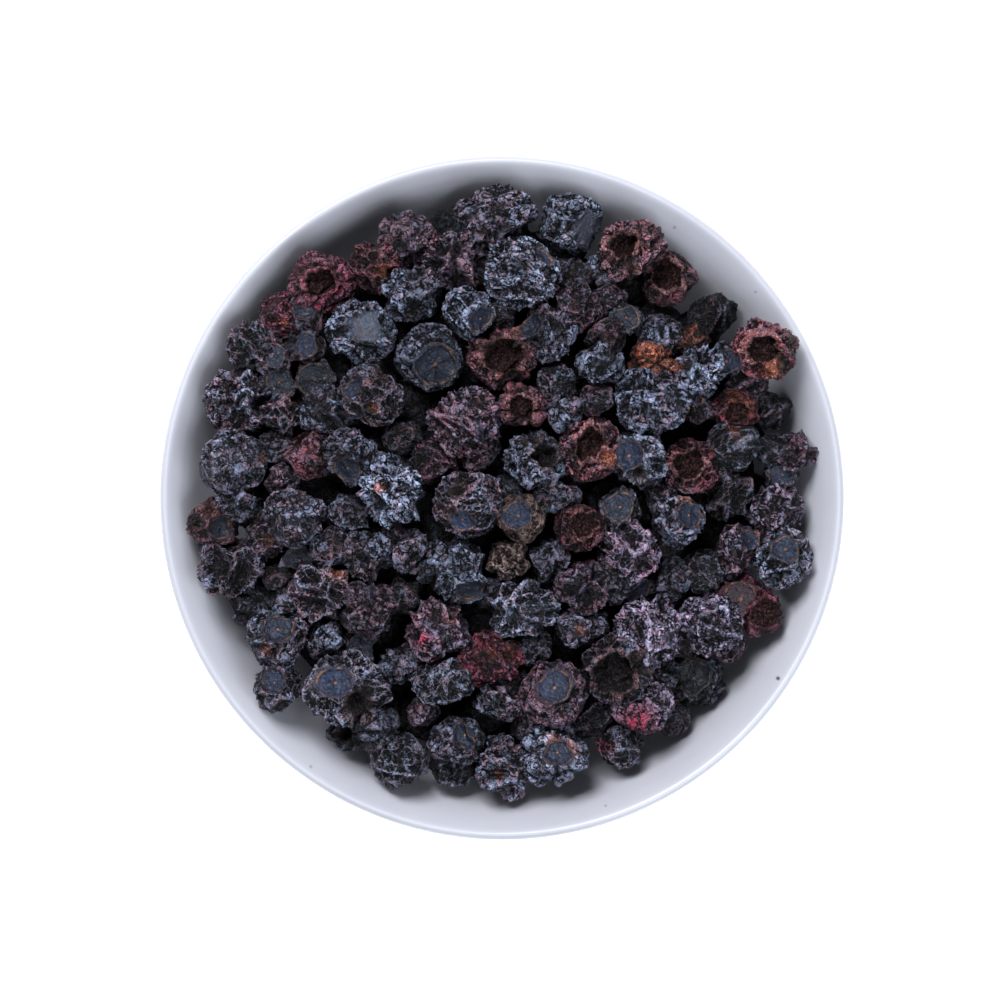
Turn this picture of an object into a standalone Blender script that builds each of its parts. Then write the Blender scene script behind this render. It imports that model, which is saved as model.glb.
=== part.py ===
# A small ceramic bowl heaped with dried blueberries.
# Metres, +Z up. The origin is the centre of the foot ring, where the bowl stands.

import math
import random
from typing import NamedTuple

import bmesh
import bpy
from mathutils import Vector

MM = 0.001
SHARP_ANGLE = math.radians(45.0)
FLAT_ANGLE = math.radians(10.0)

# Driving dimensions of the bowl
RIM_RADIUS = 42.0 * MM
BOWL_HEIGHT = 36.0 * MM
LIP_WIDTH = 2.0 * MM
FOOT_RADIUS = 20.6 * MM
FOOT_WIDTH = 2.6 * MM
FOOT_RECESS = 2.2 * MM
FOOT_EDGE = 0.5 * MM
TURNED_STEPS = 48
LIP_STEPS = 5
MERGE = 0.01 * MM
SLIVER = 0.004 * MM

# Driving dimensions of the heap
HEAP_TOP = 42.0 * MM
HEAP_FALL = 4.2 * MM
HEAP_EDGE_FALL = 1.0 * MM
HEAP_TILT = 2.2 * MM
HEAP_RADIUS = 36.0 * MM
LOW_SIDE = math.radians(-50.0)
LEVEL_STEP = 2.4 * MM
PACKING = 0.86
LOOSE_PACKING = 1.08
CORE_DEPTH = 4.6 * MM
ROOT_SHARE = 0.65
CORE_STEPS = 16
CORE_GAP = 0.8 * MM
CORE_RINGS = (0.0, 0.42, 0.75, 1.0)
NUDGE = 0.1 * MM
DEEPEST_LEVEL = 1.0
SMALLEST = 3.3 * MM
SEAT_GAP = 0.45 * MM
FILL_SPACING = 6.4 * MM
FILL_JITTER = 1.0 * MM
FILL_SIZES = (4.4, 5.6)
FILL_LEVEL = 1.0
FILL_SEED = 7
MARK_SEED = 1000
WALL_GAP = 0.6 * MM
FLATNESS = 0.92

# How far a berry's skin leaves its oval, as a share of its radius
LUMP = {"skin": 0.045, "dot": 0.045, "eye": 0.035, "dent": 0.03, "open": 0.04, "ragged": 0.10}
LUMP_WAVES = 5
DENT_DEPTH = 0.22
EYE_SINK = 0.06
MOUTH_FLOOR = 0.30
MOUTH_BEND = 0.12
MOUTH_WAIST = 0.7
WIDEST_MARK = 0.85
STEEPEST_MARK = 0.9
DENT_REACH = 0.55

# Sides and rings of a berry's mesh, from the mark at its pole
SIDES = {"skin": (7, 4), "dot": (7, 4), "dent": (7, 4), "ragged": (8, 4), "eye": (8, 4), "open": (9, 5)}
LOWER_SIDES = (6, 3)
FACET_GROWTH = 1.07

COLOURS = {
    "glaze": ((0.78, 0.79, 0.82), 0.16),
    "ink": ((0.020, 0.022, 0.032), 0.55),
    "wine": ((0.110, 0.022, 0.030), 0.50),
    "rust": ((0.180, 0.060, 0.030), 0.55),
    "umber": ((0.060, 0.040, 0.034), 0.65),
}
LOOSE_TINTS = ("wine", "rust", "umber")


class Berry(NamedTuple):
    """Seen from above, in millimetres: place, width, depth, turn in degrees, level under the top layer,
    tint and kind, then the middle and radius of its calyx, mouth or dent."""

    x: float
    y: float
    width: float
    depth: float
    turn: float
    level: float
    tint: str
    kind: str
    mark_x: float = 0.0
    mark_y: float = 0.0
    mark_radius: float = 0.0


BERRIES = [
    # Along the far edge, left to right
    Berry(-11.5, 31.5, 6.4, 6.0, 0, 0, "plum", "skin"),
    Berry(-1.0, 34.0, 9.0, 7.4, 10, 0, "ink", "ragged"),
    Berry(8.3, 33.6, 7.4, 7.0, 0, 0, "slate", "eye", 10.3, 33.0, 1.7),
    Berry(-15.3, 28.3, 6.0, 5.8, 0, 0, "plum", "dot", -14.7, 27.5, 0.7),
    Berry(-22.0, 26.3, 7.6, 7.0, 0, 0, "wine", "open", -22.2, 25.7, 1.9),
    Berry(15.7, 30.0, 8.0, 7.0, 20, 0, "wine", "open", 14.5, 31.0, 1.7),
    Berry(20.3, 27.2, 6.8, 6.4, 0, 0.5, "plum", "open", 20.0, 27.6, 2.0),
    Berry(-6.0, 29.0, 6.2, 6.0, 0, 0, "plum", "ragged"),
    Berry(2.2, 27.3, 8.8, 8.0, 0, 0, "slate", "eye", 5.0, 29.4, 1.4),
    Berry(7.5, 28.0, 3.2, 3.0, 0, 1, "ink", "skin"),
    Berry(12.6, 28.0, 4.2, 4.0, 0, 1, "ink", "skin"),
    Berry(-27.0, 22.2, 5.4, 5.2, 0, 0, "plum", "dot", -26.7, 21.3, 0.5),
    Berry(-23.6, 22.6, 5.0, 4.8, 0, 0.5, "plum", "eye", -24.1, 23.4, 1.5),
    Berry(-22.9, 20.9, 3.4, 3.2, 0, 1, "ink", "skin"),
    Berry(-10.5, 25.0, 8.0, 6.4, -10, 0, "ink", "ragged"),
    Berry(-17.3, 20.3, 7.6, 6.8, 0, 0, "slate", "dent", -16.3, 20.6, 2.2),
    Berry(-4.2, 22.4, 6.2, 6.0, 0, 0, "slate", "eye", -2.4, 21.4, 1.5),
    Berry(9.0, 23.3, 5.8, 5.6, 0, 0, "plum", "skin"),
    Berry(13.2, 24.0, 3.6, 3.6, 0, 1, "plum", "skin"),
    Berry(15.2, 21.9, 4.2, 4.0, 0, 0.5, "slate", "eye", 15.2, 21.9, 1.6),
    Berry(26.0, 22.6, 5.6, 5.4, 0, 1, "ink", "skin"),
    Berry(5.0, 20.0, 6.6, 6.2, 0, 0, "ink", "eye", 3.2, 21.0, 1.6),
    Berry(-30.6, 18.6, 5.6, 5.4, 0, 0, "ink", "skin"),
    Berry(-24.2, 18.4, 4.4, 4.4, 0, 0, "ink", "eye", -23.8, 18.3, 1.3),
    Berry(-28.0, 17.0, 4.4, 4.2, 0, 0, "ink", "eye", -28.3, 17.3, 1.6),
    Berry(12.8, 19.6, 4.8, 4.6, 0, 0, "plum", "skin"),
    Berry(12.0, 16.2, 5.2, 4.8, 0, 0, "slate", "skin"),
    Berry(19.3, 19.9, 5.2, 5.0, 0, 0.5, "ink", "skin"),
    Berry(23.3, 19.4, 4.0, 3.8, 0, 0.5, "plum", "skin"),
    Berry(32.2, 18.0, 7.0, 6.4, -30, 0, "wine", "open", 31.5, 18.2, 1.9),
    # Down to the middle
    Berry(-9.0, 17.0, 8.0, 7.8, 0, 0, "slate", "eye", -7.8, 15.6, 2.5),
    Berry(0.0, 16.9, 7.4, 6.4, 0, 0, "wine", "open", 0.0, 17.1, 2.2),
    Berry(6.8, 13.8, 4.6, 4.4, 0, 0.5, "ink", "skin"),
    Berry(18.3, 16.5, 5.0, 4.6, 0, 0, "rust", "dot", 17.9, 15.5, 0.8),
    Berry(23.6, 15.3, 5.8, 5.4, 0, 0, "slate", "ragged"),
    Berry(27.6, 16.8, 4.4, 4.2, 0, 0.5, "ink", "eye", 27.4, 16.5, 1.8),
    Berry(30.0, 13.8, 5.0, 5.0, 0, 1, "plum", "skin"),
    Berry(-27.3, 14.0, 4.6, 4.4, 0, 1, "ink", "eye", -27.3, 14.0, 1.8),
    Berry(-22.9, 14.4, 5.0, 4.8, 0, 1, "ink", "eye", -22.9, 14.2, 2.0),
    Berry(-16.0, 12.2, 7.6, 7.2, 0, 0, "ink", "eye", -18.2, 13.3, 1.4),
    Berry(-32.2, 11.8, 7.6, 7.2, 0, 0, "ink", "skin"),
    Berry(-26.8, 10.0, 4.8, 4.8, 0, 0, "ink", "skin"),
    Berry(-21.5, 10.6, 5.6, 5.4, 0, 0, "ink", "dent", -22.0, 12.2, 1.5),
    Berry(-4.9, 9.2, 7.8, 6.2, 10, 0, "plum", "ragged"),
    Berry(2.6, 11.2, 5.4, 5.2, 0, 0, "plum", "open", 2.3, 10.6, 1.5),
    Berry(7.4, 10.2, 4.2, 4.2, 0, 0.5, "ink", "skin"),
    Berry(11.5, 11.6, 4.4, 4.2, 0, 0.5, "plum", "skin"),
    Berry(18.0, 11.8, 9.0, 6.8, 0, 0, "ink", "ragged"),
    Berry(24.4, 10.8, 3.6, 3.4, 0, 1, "ink", "skin"),
    Berry(28.6, 10.6, 5.8, 5.2, 0, 0.5, "rust", "open", 28.8, 10.4, 1.4),
    Berry(33.1, 10.9, 4.8, 4.6, 0, 1, "ink", "skin"),
    Berry(-12.0, 7.2, 4.8, 4.6, 0, 1, "ink", "skin"),
    Berry(-27.6, 6.1, 4.0, 3.8, 0, 0.5, "ink", "skin"),
    Berry(-32.8, 4.2, 8.2, 7.8, 0, 0, "ink", "dent", -31.2, 4.5, 2.2),
    Berry(-23.3, 5.0, 5.4, 5.2, 0, 0, "wine", "skin"),
    Berry(-18.4, 4.9, 6.4, 6.2, 0, 0, "ink", "eye", -18.9, 2.7, 1.8),
    Berry(-8.4, 4.0, 5.4, 4.8, 0, 0.5, "plum", "dent", -8.0, 2.2, 1.4),
    Berry(-3.3, 4.6, 3.4, 3.2, 0, 0.5, "plum", "skin"),
    Berry(3.9, 4.6, 7.2, 6.6, 0, 0, "slate", "open", 5.4, 5.0, 1.5),
    Berry(10.8, 5.6, 7.0, 7.8, 0, 0, "wine", "open", 10.6, 6.6, 1.8),
    Berry(17.0, 4.8, 7.0, 6.8, 0, 0, "slate", "eye", 15.0, 5.0, 1.9),
    Berry(23.2, 3.6, 6.2, 6.0, 0, 0, "wine", "open", 22.8, 4.1, 1.7),
    Berry(28.4, 6.2, 6.6, 6.2, 0, 0, "slate", "dot", 28.4, 8.0, 0.7),
    Berry(33.2, 5.9, 4.2, 4.2, 0, 0, "slate", "dent", 33.0, 6.0, 1.3),
    Berry(36.0, 5.4, 4.0, 4.0, 0, 0, "plum", "ragged"),
    Berry(34.4, 2.7, 4.0, 3.8, 0, 0.5, "slate", "eye", 34.5, 2.8, 1.3),
    # The middle band
    Berry(-27.0, 2.0, 4.4, 4.2, 0, 0, "plum", "skin"),
    Berry(-13.5, 1.0, 6.2, 7.4, 0, 0, "slate", "ragged"),
    Berry(-4.3, -0.9, 8.2, 8.2, 0, 0, "ink", "eye", -4.9, -3.4, 1.5),
    Berry(2.5, -2.6, 5.8, 5.6, 0, 0, "umber", "eye", 1.7, -2.3, 1.8),
    Berry(6.2, 0.2, 6.0, 4.0, 0, 1, "ink", "skin"),
    Berry(9.5, -3.7, 6.2, 6.0, 0, 0, "wine", "open", 10.0, -3.4, 1.6),
    Berry(14.5, -1.6, 5.0, 4.9, 0, 0.5, "ink", "eye", 14.3, -1.1, 1.8),
    Berry(21.4, -2.9, 6.2, 6.2, 0, 0, "ink", "eye", 23.1, -2.2, 1.6),
    Berry(27.6, 0.6, 5.4, 5.6, 0, 0.5, "ink", "ragged"),
    Berry(33.5, -1.6, 6.6, 6.4, 0, 0, "plum", "skin"),
    Berry(-31.0, -1.8, 4.0, 3.8, 0, 1, "ink", "skin"),
    Berry(-35.4, -3.3, 6.0, 5.8, 0, 0, "wine", "eye", -34.2, -4.0, 1.5),
    Berry(-25.3, -2.4, 7.2, 7.0, 0, 0, "ink", "dent", -24.6, -1.6, 2.0),
    Berry(-18.6, -2.3, 5.0, 5.0, 0, 1, "ink", "skin"),
    Berry(-28.9, -5.1, 4.6, 4.4, 0, 0, "plum", "dot", -28.5, -5.3, 0.6),
    Berry(-21.0, -6.2, 4.8, 4.6, 0, 0.5, "ink", "dent", -20.6, -5.8, 1.4),
    Berry(-13.0, -4.8, 3.4, 3.2, 0, 1, "plum", "skin"),
    Berry(-11.0, -6.7, 4.8, 4.8, 0, 0.5, "ink", "skin"),
    Berry(-16.2, -7.2, 5.6, 5.4, 0, 0, "ink", "skin"),
    Berry(-24.8, -7.9, 4.4, 4.2, 0, 1, "ink", "eye", -24.7, -7.7, 1.6),
    Berry(-32.9, -8.6, 7.6, 5.6, 30, 0, "ink", "ragged"),
    Berry(0.7, -7.7, 5.2, 4.8, 0, 0.5, "plum", "skin"),
    Berry(5.8, -8.0, 5.2, 5.0, 0, 1, "ink", "skin"),
    Berry(-5.9, -9.0, 8.6, 6.8, -15, 0, "slate", "eye", -4.2, -11.6, 1.5),
    Berry(15.4, -7.0, 6.8, 6.4, 0, 0, "plum", "ragged"),
    Berry(24.9, -9.2, 5.4, 5.2, 0, 0.5, "slate", "dent", 24.7, -9.0, 1.6),
    Berry(29.0, -6.6, 5.8, 6.6, 0, 0, "plum", "eye", 30.6, -5.2, 1.2),
    Berry(34.5, -7.4, 6.4, 6.6, 0, 0, "slate", "eye", 34.7, -6.2, 1.7),
    Berry(-27.5, -9.8, 3.4, 3.2, 0, 1, "ink", "skin"),
    Berry(-21.7, -11.4, 7.0, 6.8, 0, 0, "ink", "skin"),
    Berry(-12.2, -12.2, 4.6, 4.4, 0, 1, "ink", "skin"),
    Berry(-26.2, -12.8, 4.2, 4.0, 0, 0.5, "ink", "skin"),
    Berry(-16.2, -13.7, 6.8, 6.6, 0, 0, "plum", "skin"),
    Berry(-30.6, -13.2, 5.0, 4.8, 0, 1, "ink", "skin"),
    Berry(10.1, -11.0, 6.6, 5.8, 0, 0, "plum", "skin"),
    Berry(2.5, -13.6, 7.8, 6.2, 0, 0, "slate", "dent", 4.2, -14.6, 1.6),
    Berry(16.1, -11.2, 4.4, 4.2, 0, 1, "ink", "eye", 16.5, -10.9, 1.6),
    Berry(20.4, -10.4, 5.4, 5.4, 0, 1, "ink", "skin"),
    Berry(29.3, -12.5, 5.8, 5.6, 0, 0, "plum", "eye", 29.2, -12.6, 2.2),
    Berry(32.0, -14.2, 5.8, 5.0, 45, 1, "wine", "open", 32.3, -14.2, 1.7),
    # Down to the near edge
    Berry(-8.0, -16.4, 7.0, 6.8, 0, 0, "plum", "dent", -8.0, -15.8, 1.4),
    Berry(9.7, -15.8, 6.0, 4.8, 0, 0.5, "ink", "skin"),
    Berry(18.0, -16.4, 6.8, 7.8, 0, 0, "plum", "skin"),
    Berry(25.3, -15.5, 7.4, 6.6, 0, 0, "plum", "ragged"),
    Berry(28.0, -18.2, 3.6, 3.4, 0, 0.5, "plum", "skin"),
    Berry(-27.4, -17.2, 7.6, 6.8, 0, 0, "ink", "eye", -27.3, -15.9, 1.8),
    Berry(-21.4, -17.6, 4.6, 4.4, 0, 0.5, "ink", "skin"),
    Berry(-17.2, -18.2, 4.2, 4.0, 0, 1, "ink", "eye", -17.3, -18.4, 1.7),
    Berry(-12.3, -20.2, 4.8, 4.6, 0, 1, "ink", "skin"),
    Berry(-1.2, -19.6, 6.0, 5.6, 0, 0, "umber", "ragged"),
    Berry(4.0, -18.4, 4.6, 4.4, 0, 1, "ink", "skin"),
    Berry(14.2, -20.8, 8.6, 8.4, 0, 0, "ink", "open", 13.2, -21.8, 2.3),
    Berry(-7.3, -22.4, 7.2, 5.2, 0, 0, "slate", "ragged"),
    Berry(-18.5, -23.6, 10.2, 8.2, 0, 0, "slate", "eye", -20.4, -22.5, 2.0),
    Berry(-27.7, -23.2, 5.8, 5.4, 0, 0, "ink", "eye", -27.8, -22.6, 1.3),
    Berry(6.5, -24.0, 7.8, 7.6, 0, 0, "plum", "eye", 6.4, -23.1, 2.1),
    Berry(24.0, -22.6, 6.4, 6.4, 0, 1, "ink", "eye", 23.3, -21.8, 2.1),
    Berry(17.2, -25.2, 7.6, 6.8, 0, 0.5, "wine", "ragged"),
    Berry(-0.7, -25.0, 6.0, 4.2, 0, 0.5, "ink", "ragged"),
    Berry(-9.6, -26.2, 3.4, 4.0, 0, 0.5, "plum", "skin"),
    Berry(11.2, -27.2, 4.4, 4.2, 0, 1, "ink", "skin"),
    Berry(21.0, -27.0, 4.6, 4.4, 0, 1, "ink", "skin"),
    Berry(-5.5, -29.6, 6.2, 6.0, 0, 0.5, "ink", "eye", -4.2, -28.9, 1.7),
    Berry(-18.4, -29.0, 5.8, 4.6, 0, 1, "ink", "open", -19.6, -28.8, 1.1),
    Berry(-12.4, -32.2, 7.0, 6.4, 0, 0, "slate", "skin"),
    Berry(0.2, -33.0, 5.4, 7.0, 10, 0, "ink", "ragged"),
    Berry(6.3, -31.6, 7.8, 7.2, 0, 0, "slate", "eye", 6.8, -31.2, 1.5),
    Berry(14.6, -30.8, 5.6, 4.6, 10, 0.5, "slate", "ragged"),
    Berry(-6.0, -33.2, 5.6, 4.0, 0, 1, "ink", "skin"),
]

INSIDE = [
    (40.0, 35.2), (38.5, 32.5), (36.0, 28.2), (33.0, 23.4), (29.5, 18.4),
    (25.0, 13.0), (20.0, 8.7), (14.0, 5.9), (7.0, 4.9), (0.0, 4.7),
]
OUTSIDE = [
    (41.3, 32.6), (38.0, 27.0), (35.0, 22.1), (31.5, 16.9), (26.8, 11.2), (23.2, 7.8), (21.3, 5.0), (20.8, 2.8),
]


def clear_scene():
    for thing in list(bpy.data.objects):
        bpy.data.objects.remove(thing)


def new_collection(name):
    collection = bpy.data.collections.new(name)
    bpy.context.scene.collection.children.link(collection)
    return collection


def new_material(name):
    colour, roughness = COLOURS[name]
    material = bpy.data.materials.new(name)
    material.use_nodes = True
    shader = material.node_tree.nodes["Principled BSDF"]
    shader.inputs["Base Color"].default_value = (*colour, 1.0)
    shader.inputs["Roughness"].default_value = roughness
    shader.inputs["Metallic"].default_value = 0.0
    return material


def add_object(name, mesh, collection, material):
    thing = bpy.data.objects.new(name, mesh)
    collection.objects.link(thing)
    mesh.materials.append(material)
    return thing


def evaluated_mesh(thing):
    bpy.context.view_layer.update()
    return bpy.data.meshes.new_from_object(thing.evaluated_get(bpy.context.evaluated_depsgraph_get()))


def apply_modifiers(thing):
    """Puts the mesh that the modifiers make in the place of the one they started from."""
    made = evaluated_mesh(thing)
    thing.modifiers.clear()
    thing.data = made


def turned(name, profile, steps, collection, material):
    """A profile of (radius, height), from the top down the outer side, turned round the Z axis."""
    mesh = bpy.data.meshes.new(name)
    edges = [(index, index + 1) for index in range(len(profile) - 1)]
    mesh.from_pydata([(radius, 0.0, height) for radius, height in profile], edges, [])
    thing = add_object(name, mesh, collection, material)
    screw = thing.modifiers.new("turn", "SCREW")
    screw.axis = "Z"
    screw.steps = steps
    screw.render_steps = steps
    screw.use_merge_vertices = True
    screw.merge_threshold = MERGE
    apply_modifiers(thing)
    return thing


def in_metres(points):
    return [(radius * MM, height * MM) for radius, height in points]


def lip_arc():
    """Half a turn over the lip, from the inner wall's top out to the outer wall's top."""
    half = LIP_WIDTH / 2.0
    middle = RIM_RADIUS - half
    points = []
    for step in range(1, LIP_STEPS + 1):
        angle = math.pi * (1.0 - step / (LIP_STEPS + 1))
        points.append((middle + half * math.cos(angle), BOWL_HEIGHT - half + half * math.sin(angle)))
    return points


def bowl_profile():
    """The whole outline of the bowl's wall, from the middle of its inside round to its underside."""
    inner = list(reversed(in_metres(INSIDE)))
    outer = in_metres(OUTSIDE)
    foot = [
        (FOOT_RADIUS, FOOT_EDGE),
        (FOOT_RADIUS - FOOT_EDGE, 0.0),
        (FOOT_RADIUS - FOOT_WIDTH, 0.0),
        (FOOT_RADIUS - FOOT_WIDTH - FOOT_EDGE, FOOT_RECESS),
        (0.0, FOOT_RECESS),
    ]
    return inner + lip_arc() + [(RIM_RADIUS, BOWL_HEIGHT - LIP_WIDTH * 0.75)] + outer + foot


def make_bowl(collection, material):
    return turned("bowl", bowl_profile(), TURNED_STEPS, collection, material)


def wall_distance(radius, height):
    """How far a point lies from the bowl's inner wall or its lip."""
    points = in_metres(INSIDE)
    nearest = 1.0
    for (r1, z1), (r2, z2) in zip(points, points[1:]):
        along = ((radius - r1) * (r2 - r1) + (height - z1) * (z2 - z1)) / ((r2 - r1) ** 2 + (z2 - z1) ** 2)
        along = min(max(along, 0.0), 1.0)
        gap = math.hypot(radius - r1 - along * (r2 - r1), height - z1 - along * (z2 - z1))
        nearest = min(nearest, gap)
    half = LIP_WIDTH / 2.0
    lip = math.hypot(radius - RIM_RADIUS + half, height - BOWL_HEIGHT + half) - half
    return min(nearest, lip)


def heap_height(x, y):
    """The height that the tops of the top layer follow: a dome, a little lower on one side."""
    share = math.hypot(x, y) / HEAP_RADIUS
    lean = (x * math.cos(LOW_SIDE) + y * math.sin(LOW_SIDE)) / HEAP_RADIUS
    return HEAP_TOP - HEAP_FALL * share**2 - HEAP_EDGE_FALL * share**6 - HEAP_TILT * lean


def is_loose(berry):
    return berry.tint in LOOSE_TINTS


def mean_radius(berry):
    return (berry.width + berry.depth) / 4.0 * MM


def rest_heights(berries):
    """Drops each berry onto those under it, the lowest level first, and lifts it clear of the wall."""
    heights = {}
    for index in sorted(range(len(berries)), key=lambda place: (-berries[place].level, place)):
        berry = berries[index]
        radius = mean_radius(berry)
        x = berry.x * MM
        y = berry.y * MM
        plain = heap_height(x, y) - radius * FLATNESS - berry.level * LEVEL_STEP
        height = plain
        for other, below in heights.items():
            away = math.hypot(x - berries[other].x * MM, y - berries[other].y * MM)
            reach = (radius + mean_radius(berries[other])) * PACKING
            if away < reach:
                height = max(height, below + math.sqrt(reach**2 - away**2))
        rooted = heap_height(x, y) - CORE_DEPTH + radius * FLATNESS * ROOT_SHARE
        height = min(height, rooted)
        for other, below in heights.items():
            if is_loose(berry) and is_loose(berries[other]):
                away = math.hypot(x - berries[other].x * MM, y - berries[other].y * MM)
                reach = (radius + mean_radius(berries[other])) * LOOSE_PACKING + SEAT_GAP
                if away < reach:
                    height = max(height, below + math.sqrt(reach**2 - away**2))
        widest = max(berry.width, berry.depth) / 2.0 * MM
        while wall_distance(math.hypot(x, y), height) < widest + WALL_GAP:
            height += NUDGE
        heights[index] = height
    return heights


def fill_berries(shown):
    """Drawn berries for the lower layer, where a jittered grid falls between those that show."""
    draw = random.Random(FILL_SEED)
    reach = int(HEAP_RADIUS / FILL_SPACING) + 1
    made = []
    for row in range(-reach, reach + 1):
        for column in range(-reach, reach + 1):
            x = (column + 0.5 * (row % 2)) * FILL_SPACING + draw.uniform(-FILL_JITTER, FILL_JITTER)
            y = row * FILL_SPACING * math.sin(math.pi / 3.0) + draw.uniform(-FILL_JITTER, FILL_JITTER)
            size = draw.uniform(*FILL_SIZES)
            inside = math.hypot(x, y) < HEAP_RADIUS - size / 2.0 * MM
            free = all(math.hypot(x - berry.x * MM, y - berry.y * MM) > mean_radius(berry) for berry in shown)
            if inside and free:
                turn = draw.uniform(0.0, 180.0)
                made.append(Berry(x / MM, y / MM, size, size * FLATNESS, turn, FILL_LEVEL, "ink", "skin"))
    return made


def lump_waves(seed):
    """Seeded waves that run through a berry's skin: direction, frequency, phase and strength."""
    draw = random.Random(seed)
    waves = []
    for index in range(LUMP_WAVES):
        direction = Vector((draw.uniform(-1, 1), draw.uniform(-1, 1), draw.uniform(-1, 1))).normalized()
        phase = draw.uniform(0.0, math.tau)
        strength = draw.uniform(0.6, 1.0) / (1.0 + 0.25 * index)
        waves.append((direction, 2.0 + 0.9 * index, phase, strength))
    return waves


def lump(direction, waves):
    return sum(strength * math.sin(frequency * direction.dot(way) + phase)
               for way, frequency, phase, strength in waves)


def mark_direction(berry, seed):
    """Where the calyx, mouth or dent faces: read from its place in plan, or drawn where none shows."""
    draw = random.Random(seed + MARK_SEED)
    if berry.mark_radius == 0.0:
        return Vector((draw.uniform(-1, 1), draw.uniform(-1, 1), draw.uniform(-0.2, 1))).normalized()
    across = (berry.mark_x - berry.x) * MM / mean_radius(berry)
    along = (berry.mark_y - berry.y) * MM / mean_radius(berry)
    flat = min(math.hypot(across, along), STEEPEST_MARK)
    heading = math.atan2(along, across)
    return Vector((flat * math.cos(heading), flat * math.sin(heading), math.sqrt(1.0 - flat**2)))


def polar_place(ring, rings, berry, closed):
    """Distance from the middle and along the mark's axis, for a ring of a unit berry's mesh."""
    angle = math.pi * ring / rings
    if berry.kind not in ("eye", "open") or berry.level >= 1.0:
        return math.sin(angle), math.cos(angle)
    half = math.asin(min(berry.mark_radius * MM / mean_radius(berry), WIDEST_MARK))
    edge = 1 if berry.kind == "eye" else 2
    if closed:
        edge = 1
    if ring == 0:
        floor = MOUTH_FLOOR if berry.kind == "open" else math.cos(half) - EYE_SINK
        return 0.0, 1.0 if closed else floor
    if ring < edge:
        return math.sin(half) * MOUTH_WAIST, MOUTH_FLOOR + MOUTH_BEND
    angle = half + (ring - edge) * (math.pi - half) / (rings - edge)
    return math.sin(angle), math.cos(angle)


def berry_mesh(name, berry, seed, closed=False):
    """A berry round its own middle: an oval with lumps, and its calyx, mouth or dent."""
    sides, rings = LOWER_SIDES if berry.level >= 1.0 else SIDES[berry.kind]
    shape = bmesh.new()
    bmesh.ops.create_uvsphere(shape, u_segments=sides, v_segments=rings, radius=1.0)
    facing = mark_direction(berry, seed)
    turn_to_mark = Vector((0.0, 0.0, 1.0)).rotation_difference(facing)
    waves = lump_waves(seed)
    swing = math.radians(berry.turn)
    for vertex in shape.verts:
        ring = round(vertex.co.normalized().angle(Vector((0.0, 0.0, 1.0))) * rings / math.pi)
        out, along = polar_place(ring, rings, berry, closed)
        heading = math.atan2(vertex.co.y, vertex.co.x)
        point = turn_to_mark @ Vector((out * math.cos(heading), out * math.sin(heading), along))
        if berry.kind == "dent":
            near = max(0.0, (point.dot(facing) - DENT_REACH) / (1.0 - DENT_REACH))
            point = point * (1.0 - DENT_DEPTH * near * near)
        point = point * (1.0 + LUMP[berry.kind] * lump(point, waves))
        wide = point.x * math.cos(swing) + point.y * math.sin(swing)
        deep = point.y * math.cos(swing) - point.x * math.sin(swing)
        wide *= berry.width / 2.0 * MM
        deep *= berry.depth / 2.0 * MM
        vertex.co = (
            wide * math.cos(swing) - deep * math.sin(swing),
            wide * math.sin(swing) + deep * math.cos(swing),
            point.z * mean_radius(berry) * FLATNESS,
        )
        vertex.co *= FACET_GROWTH
    bmesh.ops.triangulate(shape, faces=shape.faces)
    mesh = bpy.data.meshes.new(name)
    shape.to_mesh(mesh)
    shape.free()
    return mesh


def add_berry(name, berry, seed, height, collection, material, grow=0.0):
    mesh = berry_mesh(name, berry, seed, closed=grow > 0.0)
    place = Vector((berry.x * MM, berry.y * MM, height))
    scale = 1.0 + grow / (min(berry.width, berry.depth) / 2.0 * MM)
    for vertex in mesh.vertices:
        vertex.co = vertex.co * scale + place
    return add_object(name, mesh, collection, material)


def make_core(collection, material):
    """A smaller mound that the heap's berries are rooted in. It stays off the bowl's wall."""
    top = [(share * HEAP_RADIUS, HEAP_TOP) for share in CORE_RINGS]
    side = [(max(0.0, radius - CORE_GAP), height + CORE_GAP / 2.0) for radius, height in in_metres(INSIDE)[4:]]
    core = turned("berry_heap", top + side, CORE_STEPS, collection, material)
    for vertex in core.data.vertices:
        if vertex.co.z < HEAP_TOP - MERGE:
            continue
        radius = math.hypot(vertex.co.x, vertex.co.y)
        heading = math.atan2(vertex.co.y, vertex.co.x)
        height = heap_height(vertex.co.x, vertex.co.y) - CORE_DEPTH
        while wall_distance(radius, height) < CORE_GAP:
            radius -= NUDGE
            height = heap_height(radius * math.cos(heading), radius * math.sin(heading)) - CORE_DEPTH
        vertex.co = (radius * math.cos(heading), radius * math.sin(heading), height)
    split_faces(core)
    return core


def split_faces(thing):
    """Splits every face into triangles, which stay flat where their corners move."""
    thing.modifiers.new("split faces", "TRIANGULATE")
    apply_modifiers(thing)


def merge_flat_faces(thing):
    """Joins the slivers that a union leaves wherever the surface hardly bends."""
    weld = thing.modifiers.new("weld", "WELD")
    weld.merge_threshold = SLIVER
    flat = thing.modifiers.new("merge flat faces", "DECIMATE")
    flat.decimate_type = "DISSOLVE"
    flat.angle_limit = FLAT_ANGLE
    apply_modifiers(thing)
    split_faces(thing)


def boolean(thing, operation, collection):
    cut = thing.modifiers.new(operation.lower(), "BOOLEAN")
    cut.operation = operation
    cut.operand_type = "COLLECTION"
    cut.collection = collection
    cut.solver = "EXACT"
    apply_modifiers(thing)


def empty_collection(collection):
    for thing in list(collection.objects):
        bpy.data.objects.remove(thing)


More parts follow.
